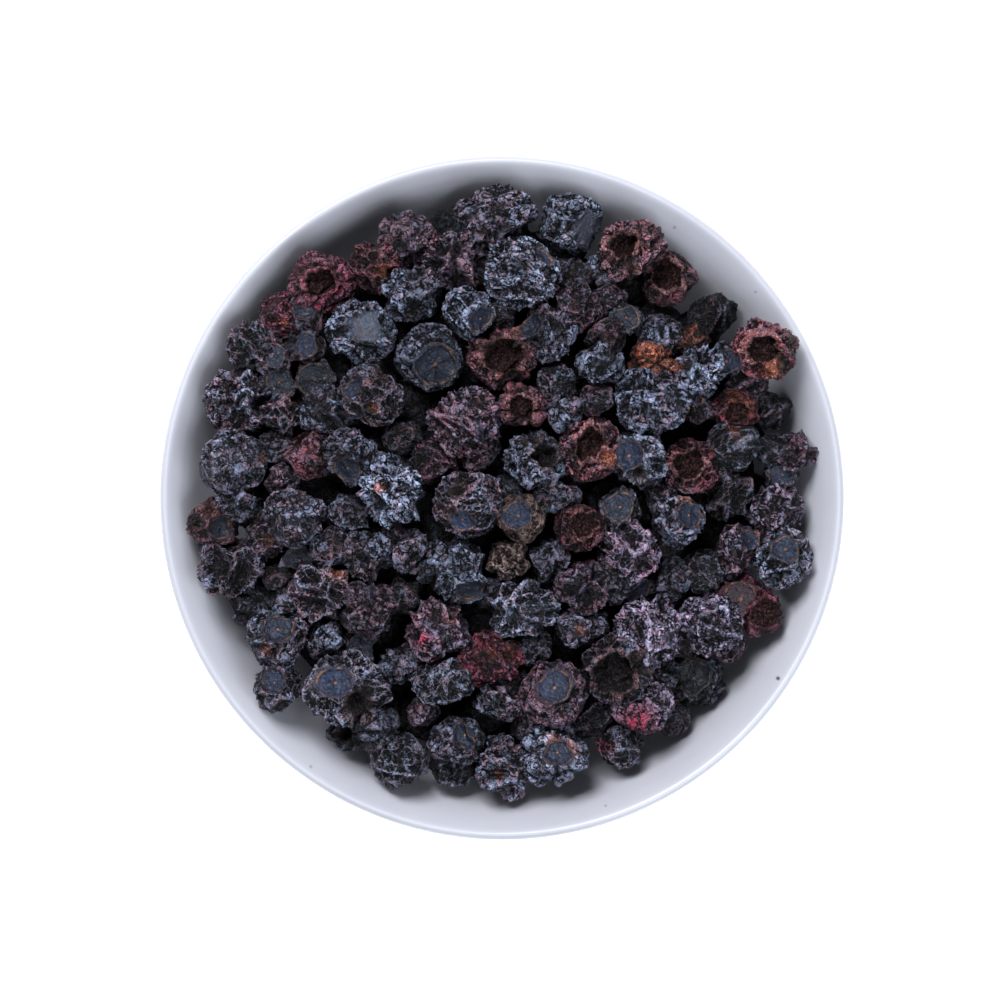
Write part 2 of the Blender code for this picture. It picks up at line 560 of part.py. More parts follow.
def keep_largest_body(mesh):
    """Drops the loose scraps and sealed hollows that joining leaves."""
    shape = bmesh.new()
    shape.from_mesh(mesh)
    unseen = set(shape.verts)
    bodies = []
    while unseen:
        found = {unseen.pop()}
        edge = list(found)
        while edge:
            corner = edge.pop()
            for link in corner.link_edges:
                other = link.other_vert(corner)
                if other in unseen:
                    unseen.remove(other)
                    found.add(other)
                    edge.append(other)
        bodies.append(found)
    bodies.sort(key=len)
    for body in bodies[:-1]:
        bmesh.ops.delete(shape, geom=list(body), context="VERTS")
    shape.to_mesh(mesh)
    shape.free()


def make_heap(berries, heights, parts, cutters, materials):
    """The berries that share the blue-black skin, joined to the core, with a seat for each loose berry."""
    heap = make_core(parts, materials["ink"])
    for index, berry in enumerate(berries):
        small = min(berry.width, berry.depth) * MM < SMALLEST
        if not is_loose(berry) and not small and berry.level <= DEEPEST_LEVEL:
            add_berry("rooted", berry, index, heights[index], cutters, materials["ink"])
    boolean(heap, "UNION", cutters)
    empty_collection(cutters)
    for index, berry in enumerate(berries):
        if is_loose(berry):
            add_berry("seat", berry, index, heights[index], cutters, materials["ink"], grow=SEAT_GAP)
    boolean(heap, "DIFFERENCE", cutters)
    empty_collection(cutters)
    keep_largest_body(heap.data)
    merge_flat_faces(heap)
    return heap


def make_loose_berries(berries, heights, parts, materials):
    count = dict.fromkeys(LOOSE_TINTS, 0)
    for index, berry in enumerate(berries):
        if is_loose(berry):
            count[berry.tint] += 1
            name = f"{berry.tint}_berry_{count[berry.tint]}"
            add_berry(name, berry, index, heights[index], parts, materials[berry.tint])


def smooth(thing):
    thing.data.shade_smooth()
    thing.data.set_sharp_from_angle(angle=SHARP_ANGLE)


def main():
    clear_scene()
    parts = new_collection("bowl_of_dried_blueberries")
    cutters = new_collection("cutters")
    materials = {name: new_material(name) for name in COLOURS}
    berries = BERRIES + fill_berries(BERRIES)
    heights = rest_heights(berries)
    make_bowl(parts, materials["glaze"])
    make_heap(berries, heights, parts, cutters, materials)
    make_loose_berries(berries, heights, parts, materials)
    for piece in parts.objects:
        smooth(piece)


main()
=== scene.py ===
# The looks of a small ceramic bowl heaped with dried blueberries.
# Metres and +Z up in the scene; the bowl's outline and the berries are listed in millimetres.

import math
import random

import bmesh
import bpy
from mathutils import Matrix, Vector, noise


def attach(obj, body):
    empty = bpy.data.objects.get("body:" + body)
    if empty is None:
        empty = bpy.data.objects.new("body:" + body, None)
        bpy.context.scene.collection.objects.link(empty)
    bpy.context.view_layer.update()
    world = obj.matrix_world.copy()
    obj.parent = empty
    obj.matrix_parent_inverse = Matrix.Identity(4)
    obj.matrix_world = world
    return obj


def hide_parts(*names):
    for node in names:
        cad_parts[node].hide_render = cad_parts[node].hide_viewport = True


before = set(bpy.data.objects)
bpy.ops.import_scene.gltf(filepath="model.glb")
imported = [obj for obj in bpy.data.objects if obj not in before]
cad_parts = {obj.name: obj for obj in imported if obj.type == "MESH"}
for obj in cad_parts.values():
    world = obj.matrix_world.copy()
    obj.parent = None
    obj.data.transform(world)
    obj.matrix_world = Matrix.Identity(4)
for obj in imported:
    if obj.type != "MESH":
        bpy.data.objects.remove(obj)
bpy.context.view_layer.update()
print("frame loaded,", len(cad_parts), "nodes")

mm = 0.001
up = Vector((0.0, 0.0, 1.0))


# Camera, light and floor

camera = {
    "rimAcross": 84.0,         # mm
    "rimPixels": 686,          # the rim's width in the photograph
    "rimMiddle": (502, 497),   # its middle there
    "picture": 1000,           # pixels a side
    "rimHeight": 36.0,         # mm
    "distance": 700.0,         # mm above the rim
    "nearClip": 35.0,          # mm
    "farClip": 20000.0,        # mm
    "tilt": 1.5,               # degrees off straight down
    "sensor": 36.0,            # mm
}

lights = {                     # degrees, millimetres and watts
    "sky": {"colour": (0.86, 0.92, 1.0), "strength": 0.34},
    "key": {"heading": 118, "height": 54, "away": 620, "size": 300, "power": 8.0,
            "colour": (0.93, 0.96, 1.0)},
    "far": {"heading": -50, "height": 48, "away": 700, "size": 520, "power": 6.4,
            "colour": (0.86, 0.93, 1.0)},
}

floor = {"width": 4000.0, "colour": (0.93, 0.93, 0.93), "glow": 0.8, "roughness": 0.9}


def placed(name, data):
    made = bpy.data.objects.new(name, data)
    bpy.context.scene.collection.objects.link(made)
    return made


def makeCamera():
    data = bpy.data.cameras.new("camera")
    eye = placed("camera", data)
    pixel = camera["rimAcross"] / camera["rimPixels"] * mm
    middle = camera["picture"] / 2
    aimX = (middle - camera["rimMiddle"][0]) * pixel
    aimY = (camera["rimMiddle"][1] - middle) * pixel
    lean = math.radians(camera["tilt"])
    distance = camera["distance"] * mm
    height = camera["rimHeight"] * mm + distance * math.cos(lean)
    eye.location = (aimX, aimY - distance * math.sin(lean), height)
    eye.rotation_euler = (lean, 0.0, 0.0)
    data.sensor_width = camera["sensor"]
    data.lens = camera["sensor"] * distance / (pixel * camera["picture"])
    data.clip_start = camera["nearClip"] * mm
    data.clip_end = camera["farClip"] * mm
    bpy.context.scene.camera = eye


def makeLamp(name, look):
    data = bpy.data.lights.new(name, "AREA")
    data.shape = "SQUARE"
    data.size = look["size"] * mm
    data.energy = look["power"]
    data.color = look["colour"]
    lamp = placed(name, data)
    heading = math.radians(look["heading"])
    height = math.radians(look["height"])
    flat = math.cos(height)
    way = Vector((math.cos(heading) * flat, math.sin(heading) * flat, math.sin(height)))
    lamp.location = way * look["away"] * mm
    lamp.rotation_euler = way.to_track_quat("Z", "Y").to_euler()


def makeSky():
    world = bpy.data.worlds.new("sky")
    world.use_nodes = True
    back = world.node_tree.nodes["Background"]
    back.inputs["Color"].default_value = (*lights["sky"]["colour"], 1.0)
    back.inputs["Strength"].default_value = lights["sky"]["strength"]
    bpy.context.scene.world = world
    bpy.context.scene.view_settings.view_transform = "Standard"


# Shader helpers

def newMaterial(name):
    material = bpy.data.materials.new(name)
    material.use_nodes = True
    tree = material.node_tree
    return material, tree, tree.nodes["Principled BSDF"]


def addNode(tree, kind, **settings):
    made = tree.nodes.new(kind)
    for key, value in settings.items():
        if key in made.inputs:
            plug(tree, value, made.inputs[key])
        else:
            setattr(made, key, value)
    return made


def plug(tree, value, socket):
    if isinstance(value, bpy.types.NodeSocket):
        tree.links.new(value, socket)
    elif isinstance(value, tuple) and len(value) == 3 and socket.type == "RGBA":
        socket.default_value = (*value, 1.0)
    else:
        socket.default_value = value


def maths(tree, operation, first, second=0.0, clamp=False):
    made = tree.nodes.new("ShaderNodeMath")
    made.operation = operation
    made.use_clamp = clamp
    plug(tree, first, made.inputs[0])
    plug(tree, second, made.inputs[1])
    return made.outputs[0]


def ramp(tree, value, low, high, start=0.0, end=1.0):
    made = tree.nodes.new("ShaderNodeMapRange")
    made.interpolation_type = "SMOOTHSTEP"
    for socket, number in zip(made.inputs, (value, low, high, start, end)):
        plug(tree, number, socket)
    return made.outputs[0]


def blend(tree, share, first, second, mode="MIX"):
    made = tree.nodes.new("ShaderNodeMix")
    made.data_type = "RGBA"
    made.blend_type = mode
    plug(tree, share, made.inputs[0])
    plug(tree, first, made.inputs[6])      # the colour sockets; the earlier ones are for numbers
    plug(tree, second, made.inputs[7])
    return made.outputs[2]


def noiseAt(tree, place, size, detail=2.0, rough=0.5):
    made = addNode(tree, "ShaderNodeTexNoise", Vector=place, Scale=1.0 / (size * mm), Detail=detail,
                   Roughness=rough)
    return made.outputs["Fac"]


def raised(tree, shader, relief, height, strength=1.0):
    bump = addNode(tree, "ShaderNodeBump", Strength=strength, Distance=height * mm, Height=relief)
    plug(tree, bump.outputs["Normal"], shader.inputs["Normal"])


# The bowl

bowl = {
    "turnSteps": 192,
    "pointsPerSpan": 5,
    "inside": [(0.0, 4.7), (7.0, 4.9), (14.0, 5.9), (20.0, 8.7), (25.0, 13.0), (29.5, 18.4), (33.0, 23.4),
               (36.0, 28.2), (38.1, 32.2)],
    "lip": [(39.2, 33.9), (40.1, 35.0), (40.9, 35.8), (41.4, 36.0), (41.85, 35.6), (42.0, 34.8),
            (41.9, 33.5)],
    "outside": [(41.2, 31.8), (38.0, 27.0), (35.0, 22.1), (31.5, 16.9), (26.8, 11.2), (23.2, 7.8),
                (21.3, 5.0), (20.8, 2.8)],
    "foot": [(20.6, 0.5), (20.45, 0.15), (20.1, 0.0), (18.0, 0.0), (17.75, 0.2), (17.5, 2.0), (17.2, 2.2),
             (0.0, 2.2)],
    "lipGuide": [(40.0, 35.2), (38.5, 32.5)],     # simpler than the lip, for keeping the berries off it
    "lipMiddle": (41.0, 35.0), "lipRound": 1.0,
    "turnMerge": 0.01,
    "glaze": (0.306, 0.302, 0.330),
    "glazePool": (0.284, 0.280, 0.310),
    "poolSize": 14.0,
    "poolRange": (0.35, 0.7),
    "bareClay": (0.70, 0.66, 0.60),
    "bareHeight": 0.35,        # the foot's underside is left without glaze up to here
    "bareEdge": 0.1,
    "bareRough": 0.5,
    "roughness": (0.34, 0.42),
    "roughRange": (0.3, 0.7),
    "rippleSize": 5.0,
    "rippleHeight": 0.05,
    "rippleStrength": 0.1,
    "specks": [                # crumbs of skin: x, y, radius, strength
        (33.8, -22.2, 0.30, 0.9), (-23.4, -33.0, 0.25, 0.35), (12.7, -37.8, 0.2, 0.4),
        (21.2, 33.2, 0.25, 0.4), (31.1, 25.2, 0.2, 0.4),
    ],
    "speck": (0.03, 0.012, 0.012),
    "speckEdge": (1.2, 0.3),   # where a speck starts and where it is full, in shares of its radius
}


def smoothLine(points, perSpan):
    line = []
    for index in range(len(points) - 1):
        before = Vector(points[max(index - 1, 0)])
        start = Vector(points[index])
        end = Vector(points[index + 1])
        after = Vector(points[min(index + 2, len(points) - 1)])
        for step in range(perSpan):
            t = step / perSpan
            line.append(0.5 * (
                2.0 * start + (end - before) * t
                + (2.0 * before - 5.0 * start + 4.0 * end - after) * t**2
                + (3.0 * start - before - 3.0 * end + after) * t**3
            ))
    line.append(Vector(points[-1]))
    return line


def speckled(tree, place, colour):
    flat = addNode(tree, "ShaderNodeVectorMath", operation="MULTIPLY")
    plug(tree, place, flat.inputs[0])
    flat.inputs[1].default_value = (1.0, 1.0, 0.0)
    for x, y, radius, strength in bowl["specks"]:
        away = addNode(tree, "ShaderNodeVectorMath", operation="DISTANCE")
        plug(tree, flat.outputs[0], away.inputs[0])
        away.inputs[1].default_value = (x * mm, y * mm, 0.0)
        start, full = bowl["speckEdge"]
        near = ramp(tree, away.outputs["Value"], radius * start * mm, radius * full * mm, 0.0, strength)
        colour = blend(tree, near, colour, bowl["speck"])
    return colour


def glazeMaterial():
    material, tree, shader = newMaterial("coolWhiteGlaze")
    place = addNode(tree, "ShaderNodeTexCoord").outputs["Object"]
    pool = noiseAt(tree, place, bowl["poolSize"], 3.0)
    colour = blend(tree, ramp(tree, pool, *bowl["poolRange"]), bowl["glaze"], bowl["glazePool"])
    height = addNode(tree, "ShaderNodeSeparateXYZ", Vector=place).outputs["Z"]
    bare = ramp(tree, height, (bowl["bareHeight"] + bowl["bareEdge"]) * mm, bowl["bareHeight"] * mm)
    colour = blend(tree, bare, colour, bowl["bareClay"])
    plug(tree, speckled(tree, place, colour), shader.inputs["Base Color"])
    rough = ramp(tree, pool, *bowl["roughRange"], *bowl["roughness"])
    rough = maths(tree, "ADD", rough, maths(tree, "MULTIPLY", bare, bowl["bareRough"]))
    plug(tree, rough, shader.inputs["Roughness"])
    ripple = noiseAt(tree, place, bowl["rippleSize"], 1.0)
    raised(tree, shader, ripple, bowl["rippleHeight"], bowl["rippleStrength"])
    return material


def makeBowl():
    wall = smoothLine(bowl["inside"] + bowl["lip"] + bowl["outside"], bowl["pointsPerSpan"])
    profile = wall + [Vector(point) for point in bowl["foot"]]
    mesh = bpy.data.meshes.new("glazedBowl")
    edges = [(index, index + 1) for index in range(len(profile) - 1)]
    mesh.from_pydata([(point.x * mm, 0.0, point.y * mm) for point in profile], edges, [])
    piece = placed("glazedBowl", mesh)
    turn = piece.modifiers.new("turn", "SCREW")
    turn.axis = "Z"
    turn.steps = bowl["turnSteps"]
    turn.render_steps = bowl["turnSteps"]
    turn.use_merge_vertices = True
    turn.merge_threshold = bowl["turnMerge"] * mm
    turn.use_smooth_shade = True
    mesh.materials.append(glazeMaterial())
    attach(piece, "root")
    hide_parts("bowl")


# The berries: place, size, turn, levels below the top layer, tint, kind, and the mark where there is one

berryFields = ("x", "y", "width", "depth", "turn", "level", "tint", "kind", "markX", "markY", "markRadius")
blankBerry = dict.fromkeys(berryFields, 0.0)

berryRows = [
    # along the far edge, left to right
    (-11.5, 31.5, 6.4, 6.0, 0, 0, "plum", "skin"),
    (-1.0, 34.0, 9.0, 7.4, 10, 0, "ink", "ragged"),
    (8.3, 33.6, 7.4, 7.0, 0, 0, "slate", "patch", 10.9, 32.8, 1.2),
    (-15.3, 28.3, 6.0, 5.8, 0, 0, "plum", "dot", -14.7, 27.5, 0.7),
    (-22.0, 26.3, 7.6, 7.0, 0, 0, "wine", "cup", -22.2, 25.7, 1.9),
    (15.7, 30.0, 8.0, 7.0, 20, 0, "wine", "open", 14.5, 31.0, 1.7),
    (20.3, 27.2, 6.8, 6.4, 0, 0.5, "heapWine", "open", 20.0, 27.6, 2.0),
    (-6.0, 29.0, 6.2, 6.0, 0, 0, "plum", "ragged"),
    (2.2, 27.3, 8.8, 8.0, 0, 0, "slate", "eye", 5.0, 29.4, 1.4),
    (7.5, 28.0, 3.2, 3.0, 0, 1, "ink", "skin"),
    (12.6, 28.0, 4.2, 4.0, 0, 1, "ink", "skin"),
    (-27.0, 22.2, 5.4, 5.2, 0, 0, "heapWine", "dot", -26.7, 21.3, 0.5),
    (-23.6, 22.6, 5.0, 4.8, 0, 0.5, "plum", "eye", -24.1, 23.4, 1.5),
    (-22.9, 20.9, 3.4, 3.2, 0, 1, "ink", "skin"),
    (-10.5, 25.0, 8.0, 6.4, -10, 0, "ink", "ragged"),
    (-17.3, 20.3, 7.6, 6.8, 0, 0, "slate", "patch", -16.3, 20.6, 2.2),
    (-4.2, 22.4, 6.2, 6.0, 0, 0, "slate", "eye", -2.4, 21.4, 1.5),
    (9.0, 23.3, 5.8, 5.6, 0, 0, "plum", "skin"),
    (13.2, 24.0, 3.6, 3.6, 0, 1, "plum", "skin"),
    (15.2, 21.9, 4.2, 4.0, 0, 0.5, "slate", "eye", 15.2, 21.9, 1.6),
    (26.0, 22.6, 5.6, 5.4, 0, 1, "ink", "skin"),
    (5.0, 20.0, 6.6, 6.2, 0, 0, "ink", "eye", 3.2, 21.0, 1.6),
    (-30.6, 18.6, 5.6, 5.4, 0, 0, "ink", "skin"),
    (-24.2, 18.4, 4.4, 4.4, 0, 0, "ink", "eye", -23.8, 18.3, 1.3),
    (-28.0, 17.0, 4.4, 4.2, 0, 0, "ink", "eye", -28.3, 17.3, 1.6),
    (12.8, 19.6, 4.8, 4.6, 0, 0, "plum", "skin"),
    (12.0, 16.2, 5.2, 4.8, 0, 0, "slate", "skin"),
    (19.3, 19.9, 5.2, 5.0, 0, 0.5, "ink", "skin"),
    (23.3, 19.4, 4.0, 3.8, 0, 0.5, "plum", "skin"),
    (32.2, 18.0, 7.0, 6.4, -30, 0, "wine", "open", 31.5, 18.2, 1.9),
    # down to the middle
    (-9.0, 17.0, 8.0, 7.8, 0, 0, "slate", "eye", -7.8, 15.6, 2.5),
    (0.0, 16.9, 7.4, 6.4, 0, 0, "wine", "open", 0.0, 17.1, 2.2),
    (6.8, 13.8, 4.6, 4.4, 0, 0.5, "ink", "skin"),
    (18.3, 16.5, 5.0, 4.6, 0, 0, "rust", "dot", 17.9, 15.5, 0.8),
    (23.6, 15.3, 5.8, 5.4, 0, 0, "slate", "ragged"),
    (27.6, 16.8, 4.4, 4.2, 0, 0.5, "ink", "eye", 27.4, 16.5, 1.8),
    (30.0, 13.8, 5.0, 5.0, 0, 1, "plum", "skin"),
    (-27.3, 14.0, 4.6, 4.4, 0, 1, "ink", "eye", -27.3, 14.0, 1.8),
    (-22.9, 14.4, 5.0, 4.8, 0, 1, "ink", "eye", -22.9, 14.2, 2.0),
    (-16.0, 12.2, 7.6, 7.2, 0, 0, "ink", "eye", -18.2, 13.3, 1.4),
    (-32.2, 11.8, 7.6, 7.2, 0, 0, "ink", "skin"),
    (-26.8, 10.0, 4.8, 4.8, 0, 0, "ink", "skin"),
    (-21.5, 10.6, 5.6, 5.4, 0, 0, "ink", "dent", -22.0, 12.2, 1.5),
    (-4.9, 9.2, 7.8, 6.2, 10, 0, "plum", "ragged"),
    (2.6, 11.2, 5.4, 5.2, 0, 0, "heapWine", "open", 2.3, 10.6, 1.5),
    (7.4, 10.2, 4.2, 4.2, 0, 0.5, "ink", "skin"),
    (11.5, 11.6, 4.4, 4.2, 0, 0.5, "plum", "skin"),
    (18.0, 11.8, 9.0, 6.8, 0, 0, "ink", "ragged"),
    (24.4, 10.8, 3.6, 3.4, 0, 1, "ink", "skin"),
    (28.6, 10.6, 5.8, 5.2, 0, 0.5, "rust", "cup", 28.8, 10.4, 1.4),
    (33.1, 10.9, 4.8, 4.6, 0, 1, "ink", "skin"),
    (-12.0, 7.2, 4.8, 4.6, 0, 1, "ink", "skin"),
    (-27.6, 6.1, 4.0, 3.8, 0, 0.5, "ink", "skin"),
    (-32.8, 4.2, 8.2, 7.8, 0, 0, "ink", "dent", -31.2, 4.5, 2.2),
    (-23.3, 5.0, 5.4, 5.2, 0, 0, "wine", "skin"),
    (-18.4, 4.9, 6.4, 6.2, 0, 0, "ink", "eye", -18.9, 2.7, 1.8),
    (-8.4, 4.0, 5.4, 4.8, 0, 0.5, "plum", "dent", -8.0, 2.2, 1.4),
    (-3.3, 4.6, 3.4, 3.2, 0, 0.5, "plum", "skin"),
    (3.9, 4.6, 7.2, 6.6, 0, 0, "slate", "open", 5.4, 5.0, 1.5),
    (10.8, 5.6, 7.0, 7.8, 0, 0, "wine", "open", 10.6, 6.6, 1.8),
    (17.0, 4.8, 7.0, 6.8, 0, 0, "slate", "eye", 15.0, 5.0, 1.9),
    (23.2, 3.6, 6.2, 6.0, 0, 0, "wine", "open", 22.8, 4.1, 1.7),
    (28.4, 6.2, 6.6, 6.2, 0, 0, "slate", "dot", 28.4, 8.0, 0.7),
    (33.2, 5.9, 4.2, 4.2, 0, 0, "slate", "dent", 33.0, 6.0, 1.3),
    (36.0, 5.4, 4.0, 4.0, 0, 0, "plum", "ragged"),
    (34.4, 2.7, 4.0, 3.8, 0, 0.5, "slate", "eye", 34.5, 2.8, 1.3),
    # the middle band
    (-27.0, 2.0, 4.4, 4.2, 0, 0, "plum", "skin"),
    (-13.5, 1.0, 6.2, 7.4, 0, 0, "slate", "ragged"),
    (-4.3, -0.9, 8.2, 8.2, 0, 0, "ink", "eye", -4.9, -3.4, 1.5),
    (2.5, -2.6, 5.8, 5.6, 0, 0, "umber", "eye", 1.7, -2.3, 1.8),
    (6.2, 0.2, 6.0, 4.0, 0, 1, "ink", "skin"),
    (9.5, -3.7, 6.2, 6.0, 0, 0, "wine", "cup", 10.0, -3.4, 1.6),
    (14.5, -1.6, 5.0, 4.9, 0, 0.5, "ink", "eye", 14.3, -1.1, 1.8),
    (21.4, -2.9, 6.2, 6.2, 0, 0, "ink", "eye", 23.1, -2.2, 1.6),
    (27.6, 0.6, 5.4, 5.6, 0, 0.5, "ink", "ragged"),
    (33.5, -1.6, 6.6, 6.4, 0, 0, "lilac", "skin"),
    (-31.0, -1.8, 4.0, 3.8, 0, 1, "ink", "skin"),
    (-35.4, -3.3, 6.0, 5.8, 0, 0, "wine", "eye", -34.2, -4.0, 1.5),
    (-25.3, -2.4, 7.2, 7.0, 0, 0, "ink", "dent", -24.6, -1.6, 2.0),
    (-18.6, -2.3, 5.0, 5.0, 0, 1, "ink", "skin"),
    (-28.9, -5.1, 4.6, 4.4, 0, 0, "plum", "dot", -28.5, -5.3, 0.6),
    (-21.0, -6.2, 4.8, 4.6, 0, 0.5, "ink", "dent", -20.6, -5.8, 1.4),
    (-13.0, -4.8, 3.4, 3.2, 0, 1, "plum", "skin"),
    (-11.0, -6.7, 4.8, 4.8, 0, 0.5, "ink", "skin"),
    (-16.2, -7.2, 5.6, 5.4, 0, 0, "ink", "skin"),
    (-24.8, -7.9, 4.4, 4.2, 0, 1, "ink", "eye", -24.7, -7.7, 1.6),
    (-32.9, -8.6, 7.6, 5.6, 30, 0, "ink", "ragged"),
    (0.7, -7.7, 5.2, 4.8, 0, 0.5, "heapUmber", "skin"),
    (5.8, -8.0, 5.2, 5.0, 0, 1, "ink", "skin"),
    (-5.9, -9.0, 8.6, 6.8, -15, 0, "slate", "eye", -4.2, -11.6, 1.5),
    (15.4, -7.0, 6.8, 6.4, 0, 0, "lilac", "ragged"),
    (24.9, -9.2, 5.4, 5.2, 0, 0.5, "slate", "dent", 24.7, -9.0, 1.6),
    (29.0, -6.6, 5.8, 6.6, 0, 0, "plum", "eye", 30.6, -5.2, 1.2),
    (34.5, -7.4, 6.4, 6.6, 0, 0, "slate", "eye", 34.7, -6.2, 1.7),
    (-27.5, -9.8, 3.4, 3.2, 0, 1, "ink", "skin"),
    (-21.7, -11.4, 7.0, 6.8, 0, 0, "ink", "skin"),
    (-12.2, -12.2, 4.6, 4.4, 0, 1, "ink", "skin"),
    (-26.2, -12.8, 4.2, 4.0, 0, 0.5, "ink", "skin"),
    (-16.2, -13.7, 6.8, 6.6, 0, 0, "plum", "skin"),
    (-30.6, -13.2, 5.0, 4.8, 0, 1, "ink", "skin"),
    (10.1, -11.0, 6.6, 5.8, 0, 0, "plum", "skin"),
    (2.5, -13.6, 7.8, 6.2, 0, 0, "slate", "dent", 4.2, -14.6, 1.6),
    (16.1, -11.2, 4.4, 4.2, 0, 1, "ink", "eye", 16.5, -10.9, 1.6),
    (20.4, -10.4, 5.4, 5.4, 0, 1, "ink", "skin"),
    (29.3, -12.5, 5.8, 5.6, 0, 0, "plum", "eye", 29.2, -12.6, 2.2),
    (32.0, -14.2, 5.8, 5.0, 45, 1, "wine", "cup", 32.3, -14.2, 1.7),
    # down to the near edge
    (-8.0, -16.4, 7.0, 6.8, 0, 0, "plum", "dent", -8.0, -15.8, 1.4),
    (9.7, -15.8, 6.0, 4.8, 0, 0.5, "ink", "skin"),
    (18.0, -16.4, 6.8, 7.8, 0, 0, "lilac", "skin"),
    (25.3, -15.5, 7.4, 6.6, 0, 0, "lilac", "ragged"),
    (28.0, -18.2, 3.6, 3.4, 0, 0.5, "plum", "skin"),
    (-27.4, -17.2, 7.6, 6.8, 0, 0, "ink", "eye", -27.3, -15.9, 1.8),
    (-21.4, -17.6, 4.6, 4.4, 0, 0.5, "ink", "skin"),
    (-17.2, -18.2, 4.2, 4.0, 0, 1, "ink", "eye", -17.3, -18.4, 1.7),
    (-12.3, -20.2, 4.8, 4.6, 0, 1, "ink", "skin"),
    (-1.2, -19.6, 6.0, 5.6, 0, 0, "umber", "ragged"),
    (4.0, -18.4, 4.6, 4.4, 0, 1, "ink", "skin"),
    (14.2, -20.8, 8.6, 8.4, 0, 0, "ink", "open", 13.2, -21.8, 2.3),
    (-7.3, -22.4, 7.2, 5.2, 0, 0, "slate", "ragged"),
    (-18.5, -23.6, 10.2, 8.2, 0, 0, "slate", "eye", -20.4, -22.5, 2.0),
    (-27.7, -23.2, 5.8, 5.4, 0, 0, "ink", "eye", -27.8, -22.6, 1.3),
    (6.5, -24.0, 7.8, 7.6, 0, 0, "plum", "eye", 6.4, -23.1, 2.1),
    (24.0, -22.6, 6.4, 6.4, 0, 1, "ink", "eye", 23.3, -21.8, 2.1),
    (17.2, -25.2, 7.6, 6.8, 0, 0.5, "wine", "skin"),
    (-0.7, -25.0, 6.0, 4.2, 0, 0.5, "ink", "ragged"),
    (-9.6, -26.2, 3.4, 4.0, 0, 0.5, "plum", "skin"),
    (11.2, -27.2, 4.4, 4.2, 0, 1, "ink", "skin"),
    (21.0, -27.0, 4.6, 4.4, 0, 1, "ink", "skin"),
    (-5.5, -29.6, 6.2, 6.0, 0, 0.5, "ink", "eye", -4.2, -28.9, 1.7),
    (-18.4, -29.0, 5.8, 4.6, 0, 1, "ink", "open", -19.6, -28.8, 1.1),
    (-12.4, -32.2, 7.0, 6.4, 0, 0, "slate", "skin"),
    (0.2, -33.0, 5.4, 7.0, 10, 0, "ink", "ragged"),
    (6.3, -31.6, 7.8, 7.2, 0, 0, "slate", "eye", 6.8, -31.2, 1.5),
    (14.6, -30.8, 5.6, 4.6, 10, 0.5, "slate", "ragged"),
    (-6.0, -33.2, 5.6, 4.0, 0, 1, "ink", "skin"),
]

smallMarks = [                 # on the skins: x, y, radius, what
    (-14.8, 15.2, 0.8, "pit"), (-15.6, 10.7, 0.5, "fleck"), (8.0, 32.6, 0.5, "pit"),
    (2.4, 20.3, 0.7, "fleck"), (8.8, 23.0, 0.5, "pit"), (-1.6, 18.0, 1.1, "pit"),
    (1.7, 18.2, 1.1, "pit"), (13.4, 19.2, 0.7, "pit"), (15.8, 27.6, 0.8, "pit"),
    (33.0, 15.8, 1.1, "fleck"), (-26.1, 12.0, 0.5, "fleck"), (-34.5, 5.0, 1.6, "lobe"),
    (-29.1, 4.7, 0.4, "fleck"), (-35.9, -1.6, 0.9, "pit"), (-14.7, 0.9, 0.45, "fleck"),
    (-15.0, -8.8, 0.8, "pit"), (-20.3, -9.5, 0.9, "fleck"), (3.5, 7.2, 1.0, "pit"),
    (12.8, 4.8, 0.9, "fleck"), (-5.3, 0.8, 0.9, "pit"), (-6.4, -2.0, 0.7, "pit"),
    (16.8, 2.6, 0.7, "pit"), (22.4, 0.0, 0.9, "fleck"), (30.9, -4.8, 0.6, "fleck"),
    (-28.7, -18.5, 0.5, "fleck"), (-24.5, -15.6, 1.2, "lobe"), (-25.6, -24.0, 0.9, "lobe"),
    (-17.4, -25.5, 1.6, "hole"), (-6.2, -14.8, 0.7, "pit"), (-9.5, -17.2, 0.8, "blush"),
    (-7.6, -30.3, 1.6, "lobe"), (-1.5, -19.4, 0.7, "fleck"), (0.8, -18.8, 0.6, "fleck"),
    (-0.5, -34.0, 0.5, "fleck"), (6.3, -29.9, 0.7, "fleck"), (8.0, -30.8, 0.9, "fleck"),
    (9.0, -29.2, 0.8, "pit"), (9.5, -16.2, 0.5, "fleck"), (17.0, -20.4, 1.2, "pit"),
    (26.5, -21.5, 1.1, "lobe"), (12.8, -30.6, 0.9, "blush"), (-23.7, -21.5, 0.5, "fleck"),
    (-34.6, -11.6, 0.8, "fleck"), (29.7, 10.9, 1.3, "fleck"), (28.4, 12.2, 0.9, "fleck"),
    (-29.6, -9.2, 0.5, "fleck"), (16.6, -27.2, 2.0, "blush"), (-4.5, -5.4, 0.5, "fleck"),
    (21.3, 15.9, 0.7, "fleck"), (-14.6, 27.4, 0.9, "fleck"),
]

